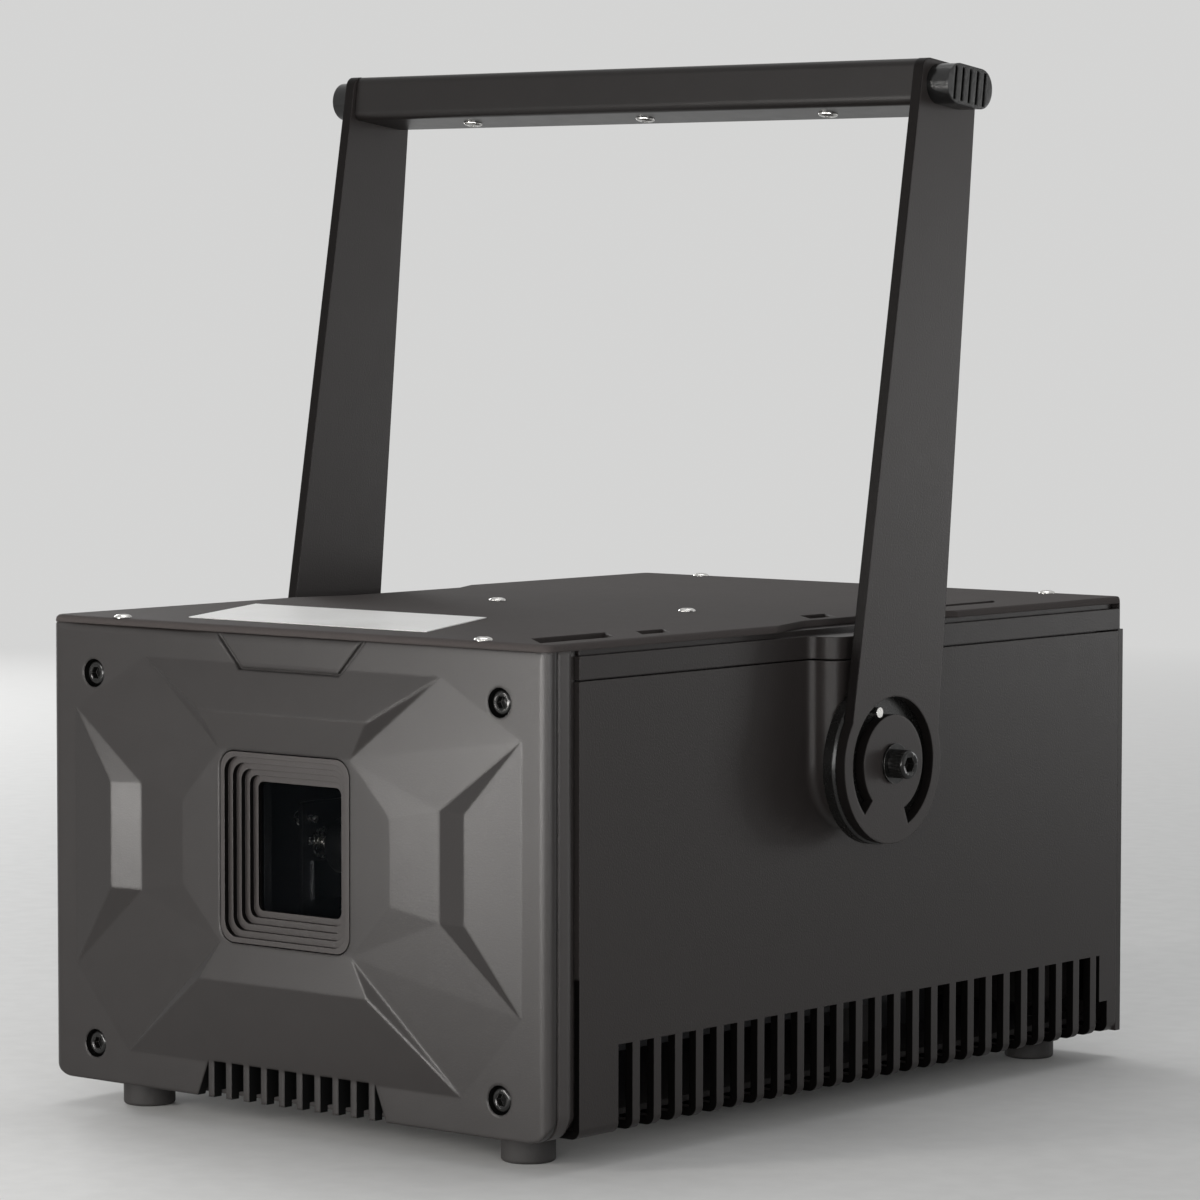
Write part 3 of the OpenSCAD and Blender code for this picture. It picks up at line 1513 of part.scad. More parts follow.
module scan_mirror_x() {
    color([0.85, 0.85, 0.9]) on_feet() translate([0, scan_y, beam_h]) rotate([0, 0, 90])
        scan_mirror(clamp_y);
}

module circuit_boards() {
    color([0.05, 0.22, 0.12]) on_feet() {
        translate([-half_w + flange_in - ledge, deck_rear + supply_gap, floor_top])
            cube([board_t, supply_d + supply_gap, board_high]);
        translate([driver_x, deck_rear + supply_gap, floor_top]) cube([board_t, supply_d, driver_high]);
    }
}

module power_supply() {
    color([0.68, 0.68, 0.66]) on_feet() translate([supply_x, deck_rear + supply_gap, floor_top])
        cube([supply_w, supply_d, supply_high]);
}

base_plate();
feet();
foot_screws();
side_panel_right();
side_panel_left();
upper_rim();
front_frame();
front_panel();
front_screws();
window_baffle();
window_glass();
glass_frame();
top_cover();
cover_screws();
blank_label();
pivot_bosses();
pivot_bolts();
pivot_washers();
stop_pins();
yoke_arm_right();
yoke_arm_left();
crossbar();
bar_end_caps();
crossbar_screws();
rear_panel();
rear_screws();
connector_bay();
fan_frames();
fan_guards();
fan_rotor_right();
fan_rotor_left();
power_inlet();
switch_housing();
power_rocker();
key_switch_body();
laser_key();
data_sockets();
control_sockets();
network_socket();
interlock_socket();
contact_pins();
display_window();
menu_button_1();
menu_button_2();
menu_button_3();
menu_button_4();
safety_eye();
optical_deck();
deck_dampers();
laser_modules();
mirror_mounts();
combining_mirrors();
scanner_bracket();
scanner_motors();
scan_mirror_x();
scan_mirror_y();
adjusting_screws();
adjusting_spring();
circuit_boards();
power_supply();
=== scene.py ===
import bmesh
import bpy
import json
import math
from mathutils import Matrix, Vector

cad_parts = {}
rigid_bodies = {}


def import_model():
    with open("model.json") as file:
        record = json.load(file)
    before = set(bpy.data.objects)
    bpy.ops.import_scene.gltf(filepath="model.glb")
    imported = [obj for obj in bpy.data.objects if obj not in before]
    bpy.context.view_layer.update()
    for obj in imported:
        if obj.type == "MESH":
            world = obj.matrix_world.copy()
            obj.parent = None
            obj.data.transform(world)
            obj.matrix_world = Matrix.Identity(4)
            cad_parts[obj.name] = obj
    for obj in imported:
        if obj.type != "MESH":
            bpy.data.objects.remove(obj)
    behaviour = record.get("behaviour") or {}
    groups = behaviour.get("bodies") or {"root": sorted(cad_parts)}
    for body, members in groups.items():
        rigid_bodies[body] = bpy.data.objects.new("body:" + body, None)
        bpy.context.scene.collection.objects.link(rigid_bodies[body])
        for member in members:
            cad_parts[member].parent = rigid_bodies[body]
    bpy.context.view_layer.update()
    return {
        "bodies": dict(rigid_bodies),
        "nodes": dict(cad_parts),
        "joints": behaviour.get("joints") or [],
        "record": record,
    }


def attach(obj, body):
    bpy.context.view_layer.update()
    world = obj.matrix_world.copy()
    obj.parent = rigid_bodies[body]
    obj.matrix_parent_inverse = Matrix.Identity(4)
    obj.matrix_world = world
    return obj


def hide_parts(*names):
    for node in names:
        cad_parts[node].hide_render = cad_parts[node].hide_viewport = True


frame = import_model()
nodes = frame["nodes"]
scene = bpy.context.scene
MM = 0.001

# ---------------------------------------------------------------- camera
SENSOR_MM = 36.0
FOCAL_PIXELS = 4915.7
PHOTO_PIXELS = 1200.0
CAMERA_AT = Vector((1.14705, -1.37425, 0.29178))
CAMERA_AZIMUTH = math.radians(39.886)
CAMERA_ELEVATION = math.radians(3.698)
CAMERA_ROLL = math.radians(0.070)


def make_camera():
    """The camera of the perspective fit."""
    a, e, r = CAMERA_AZIMUTH, CAMERA_ELEVATION, CAMERA_ROLL
    back = Vector((math.sin(a) * math.cos(e), -math.cos(a) * math.cos(e), math.sin(e)))
    right = Vector((math.cos(a), math.sin(a), 0.0))
    up = back.cross(right)
    turned_right = right * math.cos(r) + up * math.sin(r)
    turned_up = up * math.cos(r) - right * math.sin(r)
    data = bpy.data.cameras.new("photo_camera")
    data.sensor_fit = "HORIZONTAL"
    data.sensor_width = SENSOR_MM
    data.lens = FOCAL_PIXELS / PHOTO_PIXELS * data.sensor_width
    data.clip_start = 0.05
    data.clip_end = 60.0
    camera = bpy.data.objects.new("photo_camera", data)
    matrix = Matrix((turned_right, turned_up, back)).transposed().to_4x4()
    matrix.translation = CAMERA_AT
    camera.matrix_world = matrix
    scene.collection.objects.link(camera)
    scene.camera = camera


make_camera()
scene.view_settings.view_transform = "Standard"

# ---------------------------------------------------------------- lights and world
BACKDROP = (0.66, 0.66, 0.655)
WORLD_TINT = (0.95, 0.97, 1.0, 1.0)
WORLD_STRENGTH = 0.22
WARM = (1.0, 0.975, 0.945)
MILD = (1.0, 0.98, 0.96)
NEUTRAL = (1.0, 1.0, 1.0)
FRONT_FACE = (0, -0.17, 0.11)
FRONT_CORNER = (0.1, -0.05, 0.12)
# Name, place, aim, width, height, watts and tint of each soft lamp
LAMPS = (
    ("front_strip", (-0.43, -1.07, 0.068), FRONT_FACE, 0.24, 0.125, 2.9, WARM),
    ("front_high", (-0.44, -1.12, 0.40), FRONT_FACE, 0.16, 0.22, 3.1, WARM),
    ("front_mid", (-0.22, -1.60, 0.10), FRONT_CORNER, 0.35, 0.18, 3.7, MILD),
    ("front_low", (0.12, -1.75, 0.12), FRONT_CORNER, 0.60, 0.22, 5.2, MILD),
    ("front_right", (0.80, -1.42, 0.30), FRONT_CORNER, 0.55, 0.45, 6.0, MILD),
    ("key", (0.55, -2.0, 1.5), (0, 0, 0.12), 1.0, 0.8, 1.8, MILD),
    ("right", (1.32, -0.92, 0.30), (0.12, 0, 0.13), 0.55, 0.50, 5.6, NEUTRAL),
    ("rear_side", (0.98, 1.65, 0.20), (0.1, 0.1, 0.12), 0.40, 0.36, 2.3, NEUTRAL),
    ("top", (-0.2, 0.3, 2.0), (0, 0, 0.15), 1.2, 1.0, 12.0, NEUTRAL),
    ("rear_fill", (-1.9, 0.9, 0.5), (0, 0, 0.14), 0.8, 0.8, 16.0, NEUTRAL),
)


def softbox(name, at, towards, width, height, watts, tint):
    """A rectangular lamp that the camera doesn't see."""
    data = bpy.data.lights.new(name, "AREA")
    data.shape = "RECTANGLE"
    data.size = width
    data.size_y = height
    data.energy = watts
    data.color = tint
    lamp = bpy.data.objects.new(name, data)
    lamp.location = Vector(at)
    lamp.rotation_euler = (Vector(towards) - Vector(at)).to_track_quat("-Z", "Y").to_euler()
    lamp.visible_camera = False
    scene.collection.objects.link(lamp)


for lamp_row in LAMPS:
    softbox(*lamp_row)


def seen_rays(tree):
    """1 for the rays that show what is behind the object: camera, mirror and glass rays."""
    path = tree.nodes.new("ShaderNodeLightPath")
    total = path.outputs["Is Camera Ray"]
    for name in ("Is Glossy Ray", "Is Transmission Ray"):
        either = tree.nodes.new("ShaderNodeMath")
        either.operation = "MAXIMUM"
        tree.links.new(total, either.inputs[0])
        tree.links.new(path.outputs[name], either.inputs[1])
        total = either.outputs[0]
    return total


def make_world():
    """Dim light from all round, behind a backdrop that only camera, mirror and glass rays see."""
    world = bpy.data.worlds.new("studio")
    scene.world = world
    world.use_nodes = True
    tree = world.node_tree
    tree.nodes.clear()
    out = tree.nodes.new("ShaderNodeOutputWorld")
    mix = tree.nodes.new("ShaderNodeMixShader")
    lit = tree.nodes.new("ShaderNodeBackground")
    lit.inputs["Color"].default_value = WORLD_TINT
    lit.inputs["Strength"].default_value = WORLD_STRENGTH
    seen = tree.nodes.new("ShaderNodeBackground")
    seen.inputs["Color"].default_value = (*BACKDROP, 1.0)
    seen.inputs["Strength"].default_value = 1.0
    tree.links.new(seen_rays(tree), mix.inputs["Fac"])
    tree.links.new(lit.outputs[0], mix.inputs[1])
    tree.links.new(seen.outputs[0], mix.inputs[2])
    tree.links.new(mix.outputs[0], out.inputs["Surface"])


make_world()


# ---------------------------------------------------------------- finishes
EVEN = (1.0, 1.0, 1.0)
NOISE_ROUGHNESS = 0.5
BEVEL_SAMPLES = 4
MIX_COLOURS = slice(6, 8)
MIX_RESULT = 2
# Height below which the side panels have their slots
SLOT_TOP = 0.064
# Tone against the coat, and shine, of the faces that a mask paints dark as painted shade
PAINTED_SHADE_TONE = 0.12
PAINTED_SHADE_SHINE = 0.04
# Bare steel where its blackening is worn off
WORN_STEEL = (0.30, 0.29, 0.28)


class Finish:
    """A material with its node tree and the few building blocks that all finishes share."""

    def __init__(self, name, **values):
        self.material = bpy.data.materials.new(name)
        self.material.use_nodes = True
        self.tree = self.material.node_tree
        self.tree.nodes.clear()
        self.out = self.tree.nodes.new("ShaderNodeOutputMaterial")
        self.shader = self.tree.nodes.new("ShaderNodeBsdfPrincipled")
        self.link(self.shader.outputs[0], self.out.inputs["Surface"])
        for key, value in values.items():
            self.shader.inputs[key.replace("_", " ")].default_value = value
        self.place = self.tree.nodes.new("ShaderNodeTexCoord").outputs["Object"]

    def link(self, a, b):
        self.tree.links.new(a, b)

    def noise(self, scale, detail=2.0, stretch=EVEN):
        """Noise from 0 to 1 in the piece's own space, drawn out along an axis by a small stretch."""
        where = self.place
        if stretch != EVEN:
            mapping = self.tree.nodes.new("ShaderNodeMapping")
            mapping.inputs["Scale"].default_value = stretch
            self.link(self.place, mapping.inputs["Vector"])
            where = mapping.outputs[0]
        n = self.tree.nodes.new("ShaderNodeTexNoise")
        n.inputs["Scale"].default_value = scale
        n.inputs["Detail"].default_value = detail
        n.inputs["Roughness"].default_value = NOISE_ROUGHNESS
        self.link(where, n.inputs["Vector"])
        return n.outputs["Fac"]

    def cell_edges(self, scale):
        """Distance to the nearest edge of a pattern of cells."""
        v = self.tree.nodes.new("ShaderNodeTexVoronoi")
        v.feature = "DISTANCE_TO_EDGE"
        v.inputs["Scale"].default_value = scale
        self.link(self.place, v.inputs["Vector"])
        return v.outputs["Distance"]

    def fit(self, value, low, high, to_low, to_high):
        """A value's range moved to another range."""
        m = self.tree.nodes.new("ShaderNodeMapRange")
        m.inputs["From Min"].default_value = low
        m.inputs["From Max"].default_value = high
        m.inputs["To Min"].default_value = to_low
        m.inputs["To Max"].default_value = to_high
        self.link(value, m.inputs["Value"])
        return m.outputs["Result"]

    def sums(self, operation, a, b):
        """A math operation on two sockets or numbers."""
        m = self.tree.nodes.new("ShaderNodeMath")
        m.operation = operation
        for socket, value in zip(m.inputs, (a, b)):
            if isinstance(value, (int, float)):
                socket.default_value = value
            else:
                self.link(value, socket)
        return m.outputs[0]

    def blend(self, factor, a, b):
        """A colour between a and b, by a socket."""
        m = self.tree.nodes.new("ShaderNodeMix")
        m.data_type = "RGBA"
        self.link(factor, m.inputs[0])
        for socket, value in zip(m.inputs[MIX_COLOURS], (a, b)):
            if isinstance(value, tuple):
                socket.default_value = (*value[:3], 1.0)
            else:
                self.link(value, socket)
        return m.outputs[MIX_RESULT]

    def soft_edges(self, radius):
        """Normals rounded at the edges, and a mask that is 1 on an edge."""
        b = self.tree.nodes.new("ShaderNodeBevel")
        b.samples = BEVEL_SAMPLES
        b.inputs["Radius"].default_value = radius
        g = self.tree.nodes.new("ShaderNodeNewGeometry")
        d = self.tree.nodes.new("ShaderNodeVectorMath")
        d.operation = "DOT_PRODUCT"
        self.link(b.outputs[0], d.inputs[0])
        self.link(g.outputs["Normal"], d.inputs[1])
        return b.outputs[0], self.fit(d.outputs["Value"], 0.995, 0.86, 0.0, 1.0)

    def facing_axis(self, axis):
        """How far a face points along an axis, either way."""
        g = self.tree.nodes.new("ShaderNodeNewGeometry")
        parts = self.tree.nodes.new("ShaderNodeSeparateXYZ")
        self.link(g.outputs["True Normal"], parts.inputs[0])
        return self.sums("ABSOLUTE", parts.outputs[axis], 0.0)

    def slot_walls(self):
        """A mask that is 1 on the walls across the length of the case, low down in its slots, where shade
        is painted.
        """
        height = self.tree.nodes.new("ShaderNodeSeparateXYZ")
        self.link(self.place, height.inputs[0])
        low = self.fit(height.outputs["Z"], SLOT_TOP, SLOT_TOP - 0.001, 0.0, 1.0)
        return self.sums("MULTIPLY", low, self.fit(self.facing_axis("Y"), 0.5, 0.8, 0.0, 1.0))

    def step_walls(self):
        """A mask that is 1 on the walls that run back between the steps of the window, where shade is
        painted.
        """
        return self.fit(self.facing_axis("Y"), 0.75, 0.35, 0.0, 1.0)

    def plate_edges(self):
        """A mask that is 1 on the narrow edge faces of an upright plate, where shade is painted."""
        return self.fit(self.facing_axis("X"), 0.6, 0.3, 0.0, 0.85)

    def bump(self, height, distance, strength, normal=None):
        """Normals of a relief of the given depth in metres."""
        b = self.tree.nodes.new("ShaderNodeBump")
        b.inputs["Distance"].default_value = distance
        b.inputs["Strength"].default_value = strength
        self.link(height, b.inputs["Height"])
        if normal is not None:
            self.link(normal, b.inputs["Normal"])
        return b.outputs[0]

    def colour(self, socket):
        self.link(socket, self.shader.inputs["Base Color"])

    def rough(self, socket):
        self.link(socket, self.shader.inputs["Roughness"])

    def normal(self, socket):
        self.link(socket, self.shader.inputs["Normal"])


def times(colour, k):
    """A colour made brighter or darker."""
    return tuple(c * k for c in colour)


def powder_coat(name, colour, rough=0.36, grain=1500.0, depth=0.00009, radius=0.0005, wear_and_highlight=0.30, shine=0.25,
                painted_shade=None):
    """Fine-grained powder coat: orange peel, faint clouds and a thin lighter line along its edges, partly
    wear and partly a painted highlight.

    The last argument names the mask of the faces that are painted dark, with less shine, as painted shade.
    """
    f = Finish(name, Specular_IOR_Level=shine)
    rounded, edge = f.soft_edges(radius)
    fine = f.noise(grain, 2.0)
    clouds = f.noise(11.0, 3.0)
    mottle = f.noise(140.0, 2.0)
    base = f.blend(f.fit(clouds, 0.35, 0.65, 0.0, 1.0), times(colour, 0.97), times(colour, 1.03))
    base = f.blend(f.fit(mottle, 0.3, 0.7, 0.0, 0.30), base, times(colour, 1.08))
    base = f.blend(f.fit(fine, 0.35, 0.7, 0.0, 0.30), base, times(colour, 1.35))
    # A lighter line along the edges: partly wear, partly a painted highlight.
    edge_wear_and_highlight = f.sums("MULTIPLY", edge, f.fit(f.noise(60.0, 3.0), 0.35, 0.65, wear_and_highlight * 0.4, wear_and_highlight))
    base = f.blend(edge_wear_and_highlight, base, times(colour, 2.6))
    # Painted shade: the masked faces are darkened and lose most of their shine.
    if painted_shade:
        shade_mask = painted_shade(f)
        base = f.blend(shade_mask, base, times(colour, PAINTED_SHADE_TONE))
        f.link(f.fit(shade_mask, 0.0, 1.0, shine, PAINTED_SHADE_SHINE), f.shader.inputs["Specular IOR Level"])
    f.colour(base)
    matt = f.fit(mottle, 0.3, 0.7, rough - 0.010, rough + 0.014)
    f.rough(f.sums("SUBTRACT", matt, f.sums("MULTIPLY", edge, 0.08)))
    f.normal(f.bump(fine, depth, 0.55, rounded))
    return f.material


def moulded(name, colour, rough, depth=0.00006, radius=0.0003, gloss=0.45):
    """Moulded plastic: fine spark texture and slight clouding."""
    f = Finish(name, Specular_IOR_Level=gloss)
    rounded, edge = f.soft_edges(radius)
    fine = f.noise(900.0, 3.0)
    clouds = f.noise(30.0, 3.0)
    base = f.blend(f.fit(clouds, 0.35, 0.65, 0.0, 1.0), times(colour, 0.85), times(colour, 1.12))
    # Lighter edges: a painted highlight.
    f.colour(f.blend(f.sums("MULTIPLY", edge, 0.45), base, times(colour, 2.2)))
    f.rough(f.fit(fine, 0.3, 0.7, rough - 0.06, rough + 0.06))
    f.normal(f.bump(fine, depth, 0.5, rounded))
    return f.material


def rubber(name, colour):
    """Dull rubber with a little dust."""
    f = Finish(name, Specular_IOR_Level=0.30)
    rounded, edge = f.soft_edges(0.0004)
    fine = f.noise(700.0, 4.0)
    dust = f.noise(45.0, 4.0)
    base = f.blend(f.fit(dust, 0.45, 0.75, 0.0, 0.6), colour, times(colour, 2.2))
    # Lighter edges: a painted highlight.
    f.colour(f.blend(f.sums("MULTIPLY", edge, 0.3), base, times(colour, 3.0)))
    f.rough(f.fit(dust, 0.3, 0.7, 0.62, 0.80))
    f.normal(f.bump(fine, 0.00010, 0.6, rounded))
    return f.material


def metal(name, colour, rough, along=EVEN, scale=700.0, depth=0.00003):
    """Turned, drawn or milled metal: fine lines across the stretch, with faint stains."""
    f = Finish(name, Metallic=1.0)
    rounded, edge = f.soft_edges(0.0002)
    lines = f.noise(scale, 3.0, along)
    stains = f.noise(70.0, 3.0)
    base = f.blend(f.fit(stains, 0.4, 0.7, 0.0, 0.24), colour, times(colour, 0.72))
    base = f.blend(f.fit(lines, 0.35, 0.65, 0.0, 0.25), base, times(colour, 0.82))
    # Lighter edges: a painted highlight.
    f.colour(f.blend(f.sums("MULTIPLY", edge, 0.3), base, tuple(min(1.0, c * 1.25) for c in colour)))
    f.rough(f.fit(lines, 0.3, 0.7, rough - 0.05, rough + 0.09))
    f.normal(f.bump(lines, depth, 0.5, rounded))
    return f.material


def blackened(name, colour=(0.030, 0.029, 0.028), rough=0.34, shine=0.55):
    """Blackened steel, a little worn to the metal on its edges."""
    f = Finish(name, Specular_IOR_Level=shine)
    rounded, edge = f.soft_edges(0.0002)
    fine = f.noise(1200.0, 3.0)
    patches = f.noise(300.0, 3.0)
    worn = f.sums("MULTIPLY", edge, f.fit(patches, 0.4, 0.65, 0.15, 0.75))
    base = f.blend(f.fit(fine, 0.3, 0.7, 0.0, 1.0), times(colour, 0.8), times(colour, 1.25))
    f.colour(f.blend(worn, base, WORN_STEEL))
    f.rough(f.fit(patches, 0.3, 0.7, rough - 0.05, rough + 0.10))
    f.normal(f.bump(fine, 0.00003, 0.5, rounded))
    return f.material


def clear_glass(name):
    """Coated window glass, with a faint film that only tints it."""
    f = Finish(name, Alpha=0.05, Specular_IOR_Level=0.12, Roughness=0.02)
    film = f.noise(25.0, 2.0)
    f.colour(f.blend(f.fit(film, 0.35, 0.65, 0.0, 1.0), (0.010, 0.013, 0.015), (0.014, 0.016, 0.020)))
    return f.material


def mirror_coating(name):
    """A bright mirror with a faint haze."""
    f = Finish(name, Metallic=1.0)
    haze = f.noise(220.0, 3.0)
    f.colour(f.blend(f.fit(haze, 0.35, 0.65, 0.0, 1.0), (0.80, 0.82, 0.86), (0.88, 0.90, 0.92)))
    f.rough(f.fit(haze, 0.3, 0.7, 0.02, 0.07))
    return f.material


def sticker(name):
    """White film with a faint paper mottle and a soft gloss."""
    f = Finish(name, Specular_IOR_Level=0.45)
    fibre = f.noise(900.0, 3.0, (1.0, 0.35, 1.0))
    clouds = f.noise(26.0, 3.0)
    base = f.blend(f.fit(clouds, 0.35, 0.65, 0.0, 1.0), (0.88, 0.875, 0.855), (0.93, 0.925, 0.91))
    f.colour(f.blend(f.fit(fibre, 0.4, 0.7, 0.0, 0.35), base, (0.80, 0.79, 0.76)))
    f.rough(f.fit(clouds, 0.3, 0.7, 0.38, 0.46))
    f.normal(f.bump(fibre, 0.00002, 0.4))
    return f.material


def circuit(name):
    """Green laminate with tracks that run in short straight bits."""
    f = Finish(name, Specular_IOR_Level=0.5)
    tracks = f.cell_edges(260.0)
    weave = f.noise(1400.0, 2.0)
    base = f.blend(f.fit(tracks, 0.02, 0.05, 1.0, 0.0), (0.008, 0.06, 0.028), (0.02, 0.13, 0.06))
    f.colour(f.blend(f.fit(weave, 0.4, 0.7, 0.0, 0.3), base, (0.02, 0.09, 0.045)))
    f.rough(f.fit(weave, 0.3, 0.7, 0.30, 0.42))
    f.normal(f.bump(f.fit(tracks, 0.0, 0.06, 1.0, 0.0), 0.00006, 0.5))
    return f.material


def dark_display(name):
    """A display that is switched off, slightly smeared."""
    f = Finish(name, Specular_IOR_Level=0.6, Coat_Weight=0.6, Coat_Roughness=0.05)
    smear = f.noise(40.0, 3.0)
    f.colour(f.blend(f.fit(smear, 0.35, 0.65, 0.0, 1.0), (0.004, 0.005, 0.010), (0.008, 0.010, 0.018)))
    f.rough(f.fit(smear, 0.3, 0.7, 0.06, 0.16))
    return f.material


CHARCOAL = (0.0335, 0.0293, 0.0282)

case_coat = powder_coat("case_coat", times(CHARCOAL, 0.60), shine=0.20)
side_coat = powder_coat("side_coat", times(CHARCOAL, 0.64), shine=0.20, painted_shade=Finish.slot_walls)
baffle_coat = powder_coat("baffle_coat", times(CHARCOAL, 0.85), rough=0.30, radius=0.0003, wear_and_highlight=0.6,
                          shine=0.30, painted_shade=Finish.step_walls)
panel_coat = powder_coat("panel_coat", times(CHARCOAL, 0.44), rough=0.31, grain=1700.0, depth=0.00006,
                         radius=0.0015, wear_and_highlight=0.22, shine=0.36)
# The same powder coat as the case, painted lighter: the top's sheen is painted into its colour while its
# shine is kept low.
cover_coat = powder_coat("cover_coat", times(CHARCOAL, 1.35), rough=0.70, radius=0.0012, wear_and_highlight=0.0,
                         shine=0.10)
frame_coat = powder_coat("frame_coat", times(CHARCOAL, 0.9), rough=0.32, radius=0.0024, wear_and_highlight=0.1,
                         shine=0.40)
shadow_coat = powder_coat("shadow_coat", times(CHARCOAL, 0.55), rough=0.5)
yoke_coat = powder_coat("yoke_coat", times(CHARCOAL, 0.80), rough=0.34, radius=0.0009, shine=0.20,
                        painted_shade=Finish.plate_edges)
bar_coat = powder_coat("bar_coat", times(CHARCOAL, 0.28), rough=0.34, depth=0.00005, radius=0.0006)
boss_black = moulded("boss_black", (0.006, 0.0058, 0.0055), rough=0.24, depth=0.00001, radius=0.0006,
                     gloss=0.35)
black_plastic = moulded("black_plastic", (0.012, 0.012, 0.012), rough=0.45)
# A near-black finish that paints shade on the front panel's vent walls.
painted_shade_black = moulded("painted_shade_black", (0.004, 0.004, 0.004), rough=0.6, gloss=0.08)
cap_plastic = moulded("cap_plastic", (0.006, 0.006, 0.006), rough=0.17, radius=0.0008, gloss=0.5)
red_plastic = moulded("red_plastic", (0.42, 0.012, 0.010), rough=0.28, gloss=0.55)
foot_rubber = rubber("foot_rubber", (0.022, 0.0205, 0.020))
bright_steel = metal("bright_steel", (0.66, 0.65, 0.63), rough=0.24)
nickel = metal("nickel_plate", (0.50, 0.50, 0.48), rough=0.32, scale=260.0, depth=0.000003)
black_steel = blackened("black_steel")
screw_black = blackened("screw_black", (0.005, 0.0049, 0.0047), rough=0.15, shine=0.35)
milled = metal("milled_aluminium", (0.62, 0.62, 0.61), rough=0.34, along=(0.05, 1.0, 1.0), scale=1500.0)
anodised = metal("black_anodised", (0.045, 0.045, 0.047), rough=0.42, scale=1300.0, depth=0.00004)
brass = metal("plated_brass", (0.78, 0.60, 0.28), rough=0.22)
glass = clear_glass("window_glass")
mirror_face = mirror_coating("mirror_coating")
label_white = sticker("label_white")
laminate = circuit("laminate")
display_black = dark_display("display_black")

# The finish of each of the part's own nodes
finishes = {
    "base_plate": shadow_coat, "feet": foot_rubber, "foot_screws": bright_steel,
    "side_panel_right": side_coat, "side_panel_left": side_coat, "upper_rim": case_coat,
    "front_frame": frame_coat, "front_panel": panel_coat, "front_screws": screw_black,
    "window_baffle": baffle_coat, "window_glass": glass, "glass_frame": anodised,
    "top_cover": cover_coat, "cover_screws": black_steel, "blank_label": label_white,
    "pivot_bosses": boss_black, "pivot_bolts": screw_black, "pivot_washers": screw_black,
    "stop_pins": bright_steel, "yoke_arm_right": yoke_coat, "yoke_arm_left": yoke_coat,
    "crossbar": bar_coat, "bar_end_caps": cap_plastic, "crossbar_screws": bright_steel,
    "rear_panel": case_coat, "rear_screws": black_steel, "connector_bay": shadow_coat,
    "fan_frames": black_plastic, "fan_guards": bright_steel, "fan_rotor_right": black_plastic,
    "fan_rotor_left": black_plastic, "power_inlet": black_plastic, "switch_housing": black_plastic,
    "power_rocker": red_plastic, "key_switch_body": nickel, "laser_key": nickel,
    "data_sockets": black_plastic, "control_sockets": nickel, "network_socket": nickel,
    "interlock_socket": black_plastic, "contact_pins": brass, "display_window": display_black,
    "menu_button_1": black_plastic, "menu_button_2": black_plastic, "menu_button_3": black_plastic,
    # The optical deck and, below, the power supply take the black anodised finish as painted shade for the
    # dark inside of the closed case.
    "menu_button_4": black_plastic, "safety_eye": nickel, "optical_deck": anodised,
    "deck_dampers": foot_rubber, "laser_modules": anodised, "mirror_mounts": anodised,
    "combining_mirrors": mirror_face, "scanner_bracket": anodised, "scanner_motors": milled,
    "scan_mirror_x": mirror_face, "scan_mirror_y": mirror_face, "adjusting_screws": bright_steel,
    # The power supply's black anodised finish is painted shade for the dark inside of the case.
    "adjusting_spring": bright_steel, "circuit_boards": laminate, "power_supply": anodised,
}
for name, node in nodes.items():
    node.data.materials.clear()
    node.data.materials.append(finishes[name])


# ---------------------------------------------------------------- pieces in place of their CAD nodes
# Corners round a turned piece
TURN = 96
# Flat of the front, half width and top of the case, in metres
FRONT_Y = -166.0 * MM
HALF_W = 116.0 * MM
CASE_TOP = 171.8 * MM
# Front panel, in metres: weld distance, how flat its faces count as flat, depth of the outline and
# its rounding
WELD_WITHIN = 0.002 * MM
FLAT_ANGLE = math.radians(0.4)
FLAT_WITHIN = 0.02 * MM
OUTLINE_DEPTH = 4.5 * MM
EDGE_ROUNDING = 2.6 * MM
# Radius and start of the counterbores, whose insides are painted dark as shade, and half width and top of
# the vent, whose side walls are painted dark as shade
BORE_REACH = 5.3 * MM
BORE_BELOW = 0.3 * MM
VENT_HALF_W = 62 * MM
VENT_TOP = 45 * MM
# Places of the screws, in mm
SCREW_X = 94.5
SCREW_HEIGHTS = (23.3, 154.5)
FRONT_SEAT_Y = -160.6
PIVOT_SEAT_X = 137.2
PIVOT_Y = -5.5
PIVOT_Z = 125.3
COVER_SEAT_Z = 172.7
COVER_PLACES = ((-84, -162), (84, -162), (-84, 162), (84, 162), (-45, -7), (45, -7))
BAR_LEAN = math.radians(7.4)
BAR_SEAT = 228.35
BAR_X = (-84.0, 0.0, 84.0)
REAR_SEAT_Y = 166.0
REAR_PLACES = [(x, z) for x in (-109, 109) for z in (28.3, 88.3, 153.5)]
GUARD_SEAT_Y = 168.5
GUARD_PLACES = [(x, z) for x in (-91, -41, 41, 91) for z in (101.9, 151.9)]


def add_piece(name, bm, coats, body, node, crease=32.0):
    """Turns a bmesh into a piece that stands for a CAD node and rides on its body.

    Edges sharper than crease, in degrees, stay sharp. With a crease of 0 the bmesh keeps its own shading.
    """
    bmesh.ops.recalc_face_normals(bm, faces=bm.faces)
    mesh = bpy.data.meshes.new(name)
    bm.to_mesh(mesh)
    bm.free()
    for coat in coats:
        mesh.materials.append(coat)
    if crease:
        mesh.polygons.foreach_set("use_smooth", [True] * len(mesh.polygons))
        mesh.set_sharp_from_angle(angle=math.radians(crease))
    piece = bpy.data.objects.new(name, mesh)
    scene.collection.objects.link(piece)
    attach(piece, body)
    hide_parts(node)


def facing(at, out):
    """A frame in mm whose Z axis points out of the surface at a place given in mm."""
    turn = Vector(out).to_track_quat("Z", "Y").to_matrix().to_4x4()
    return Matrix.Translation(Vector(at) * MM) @ turn @ Matrix.Scale(MM, 4)


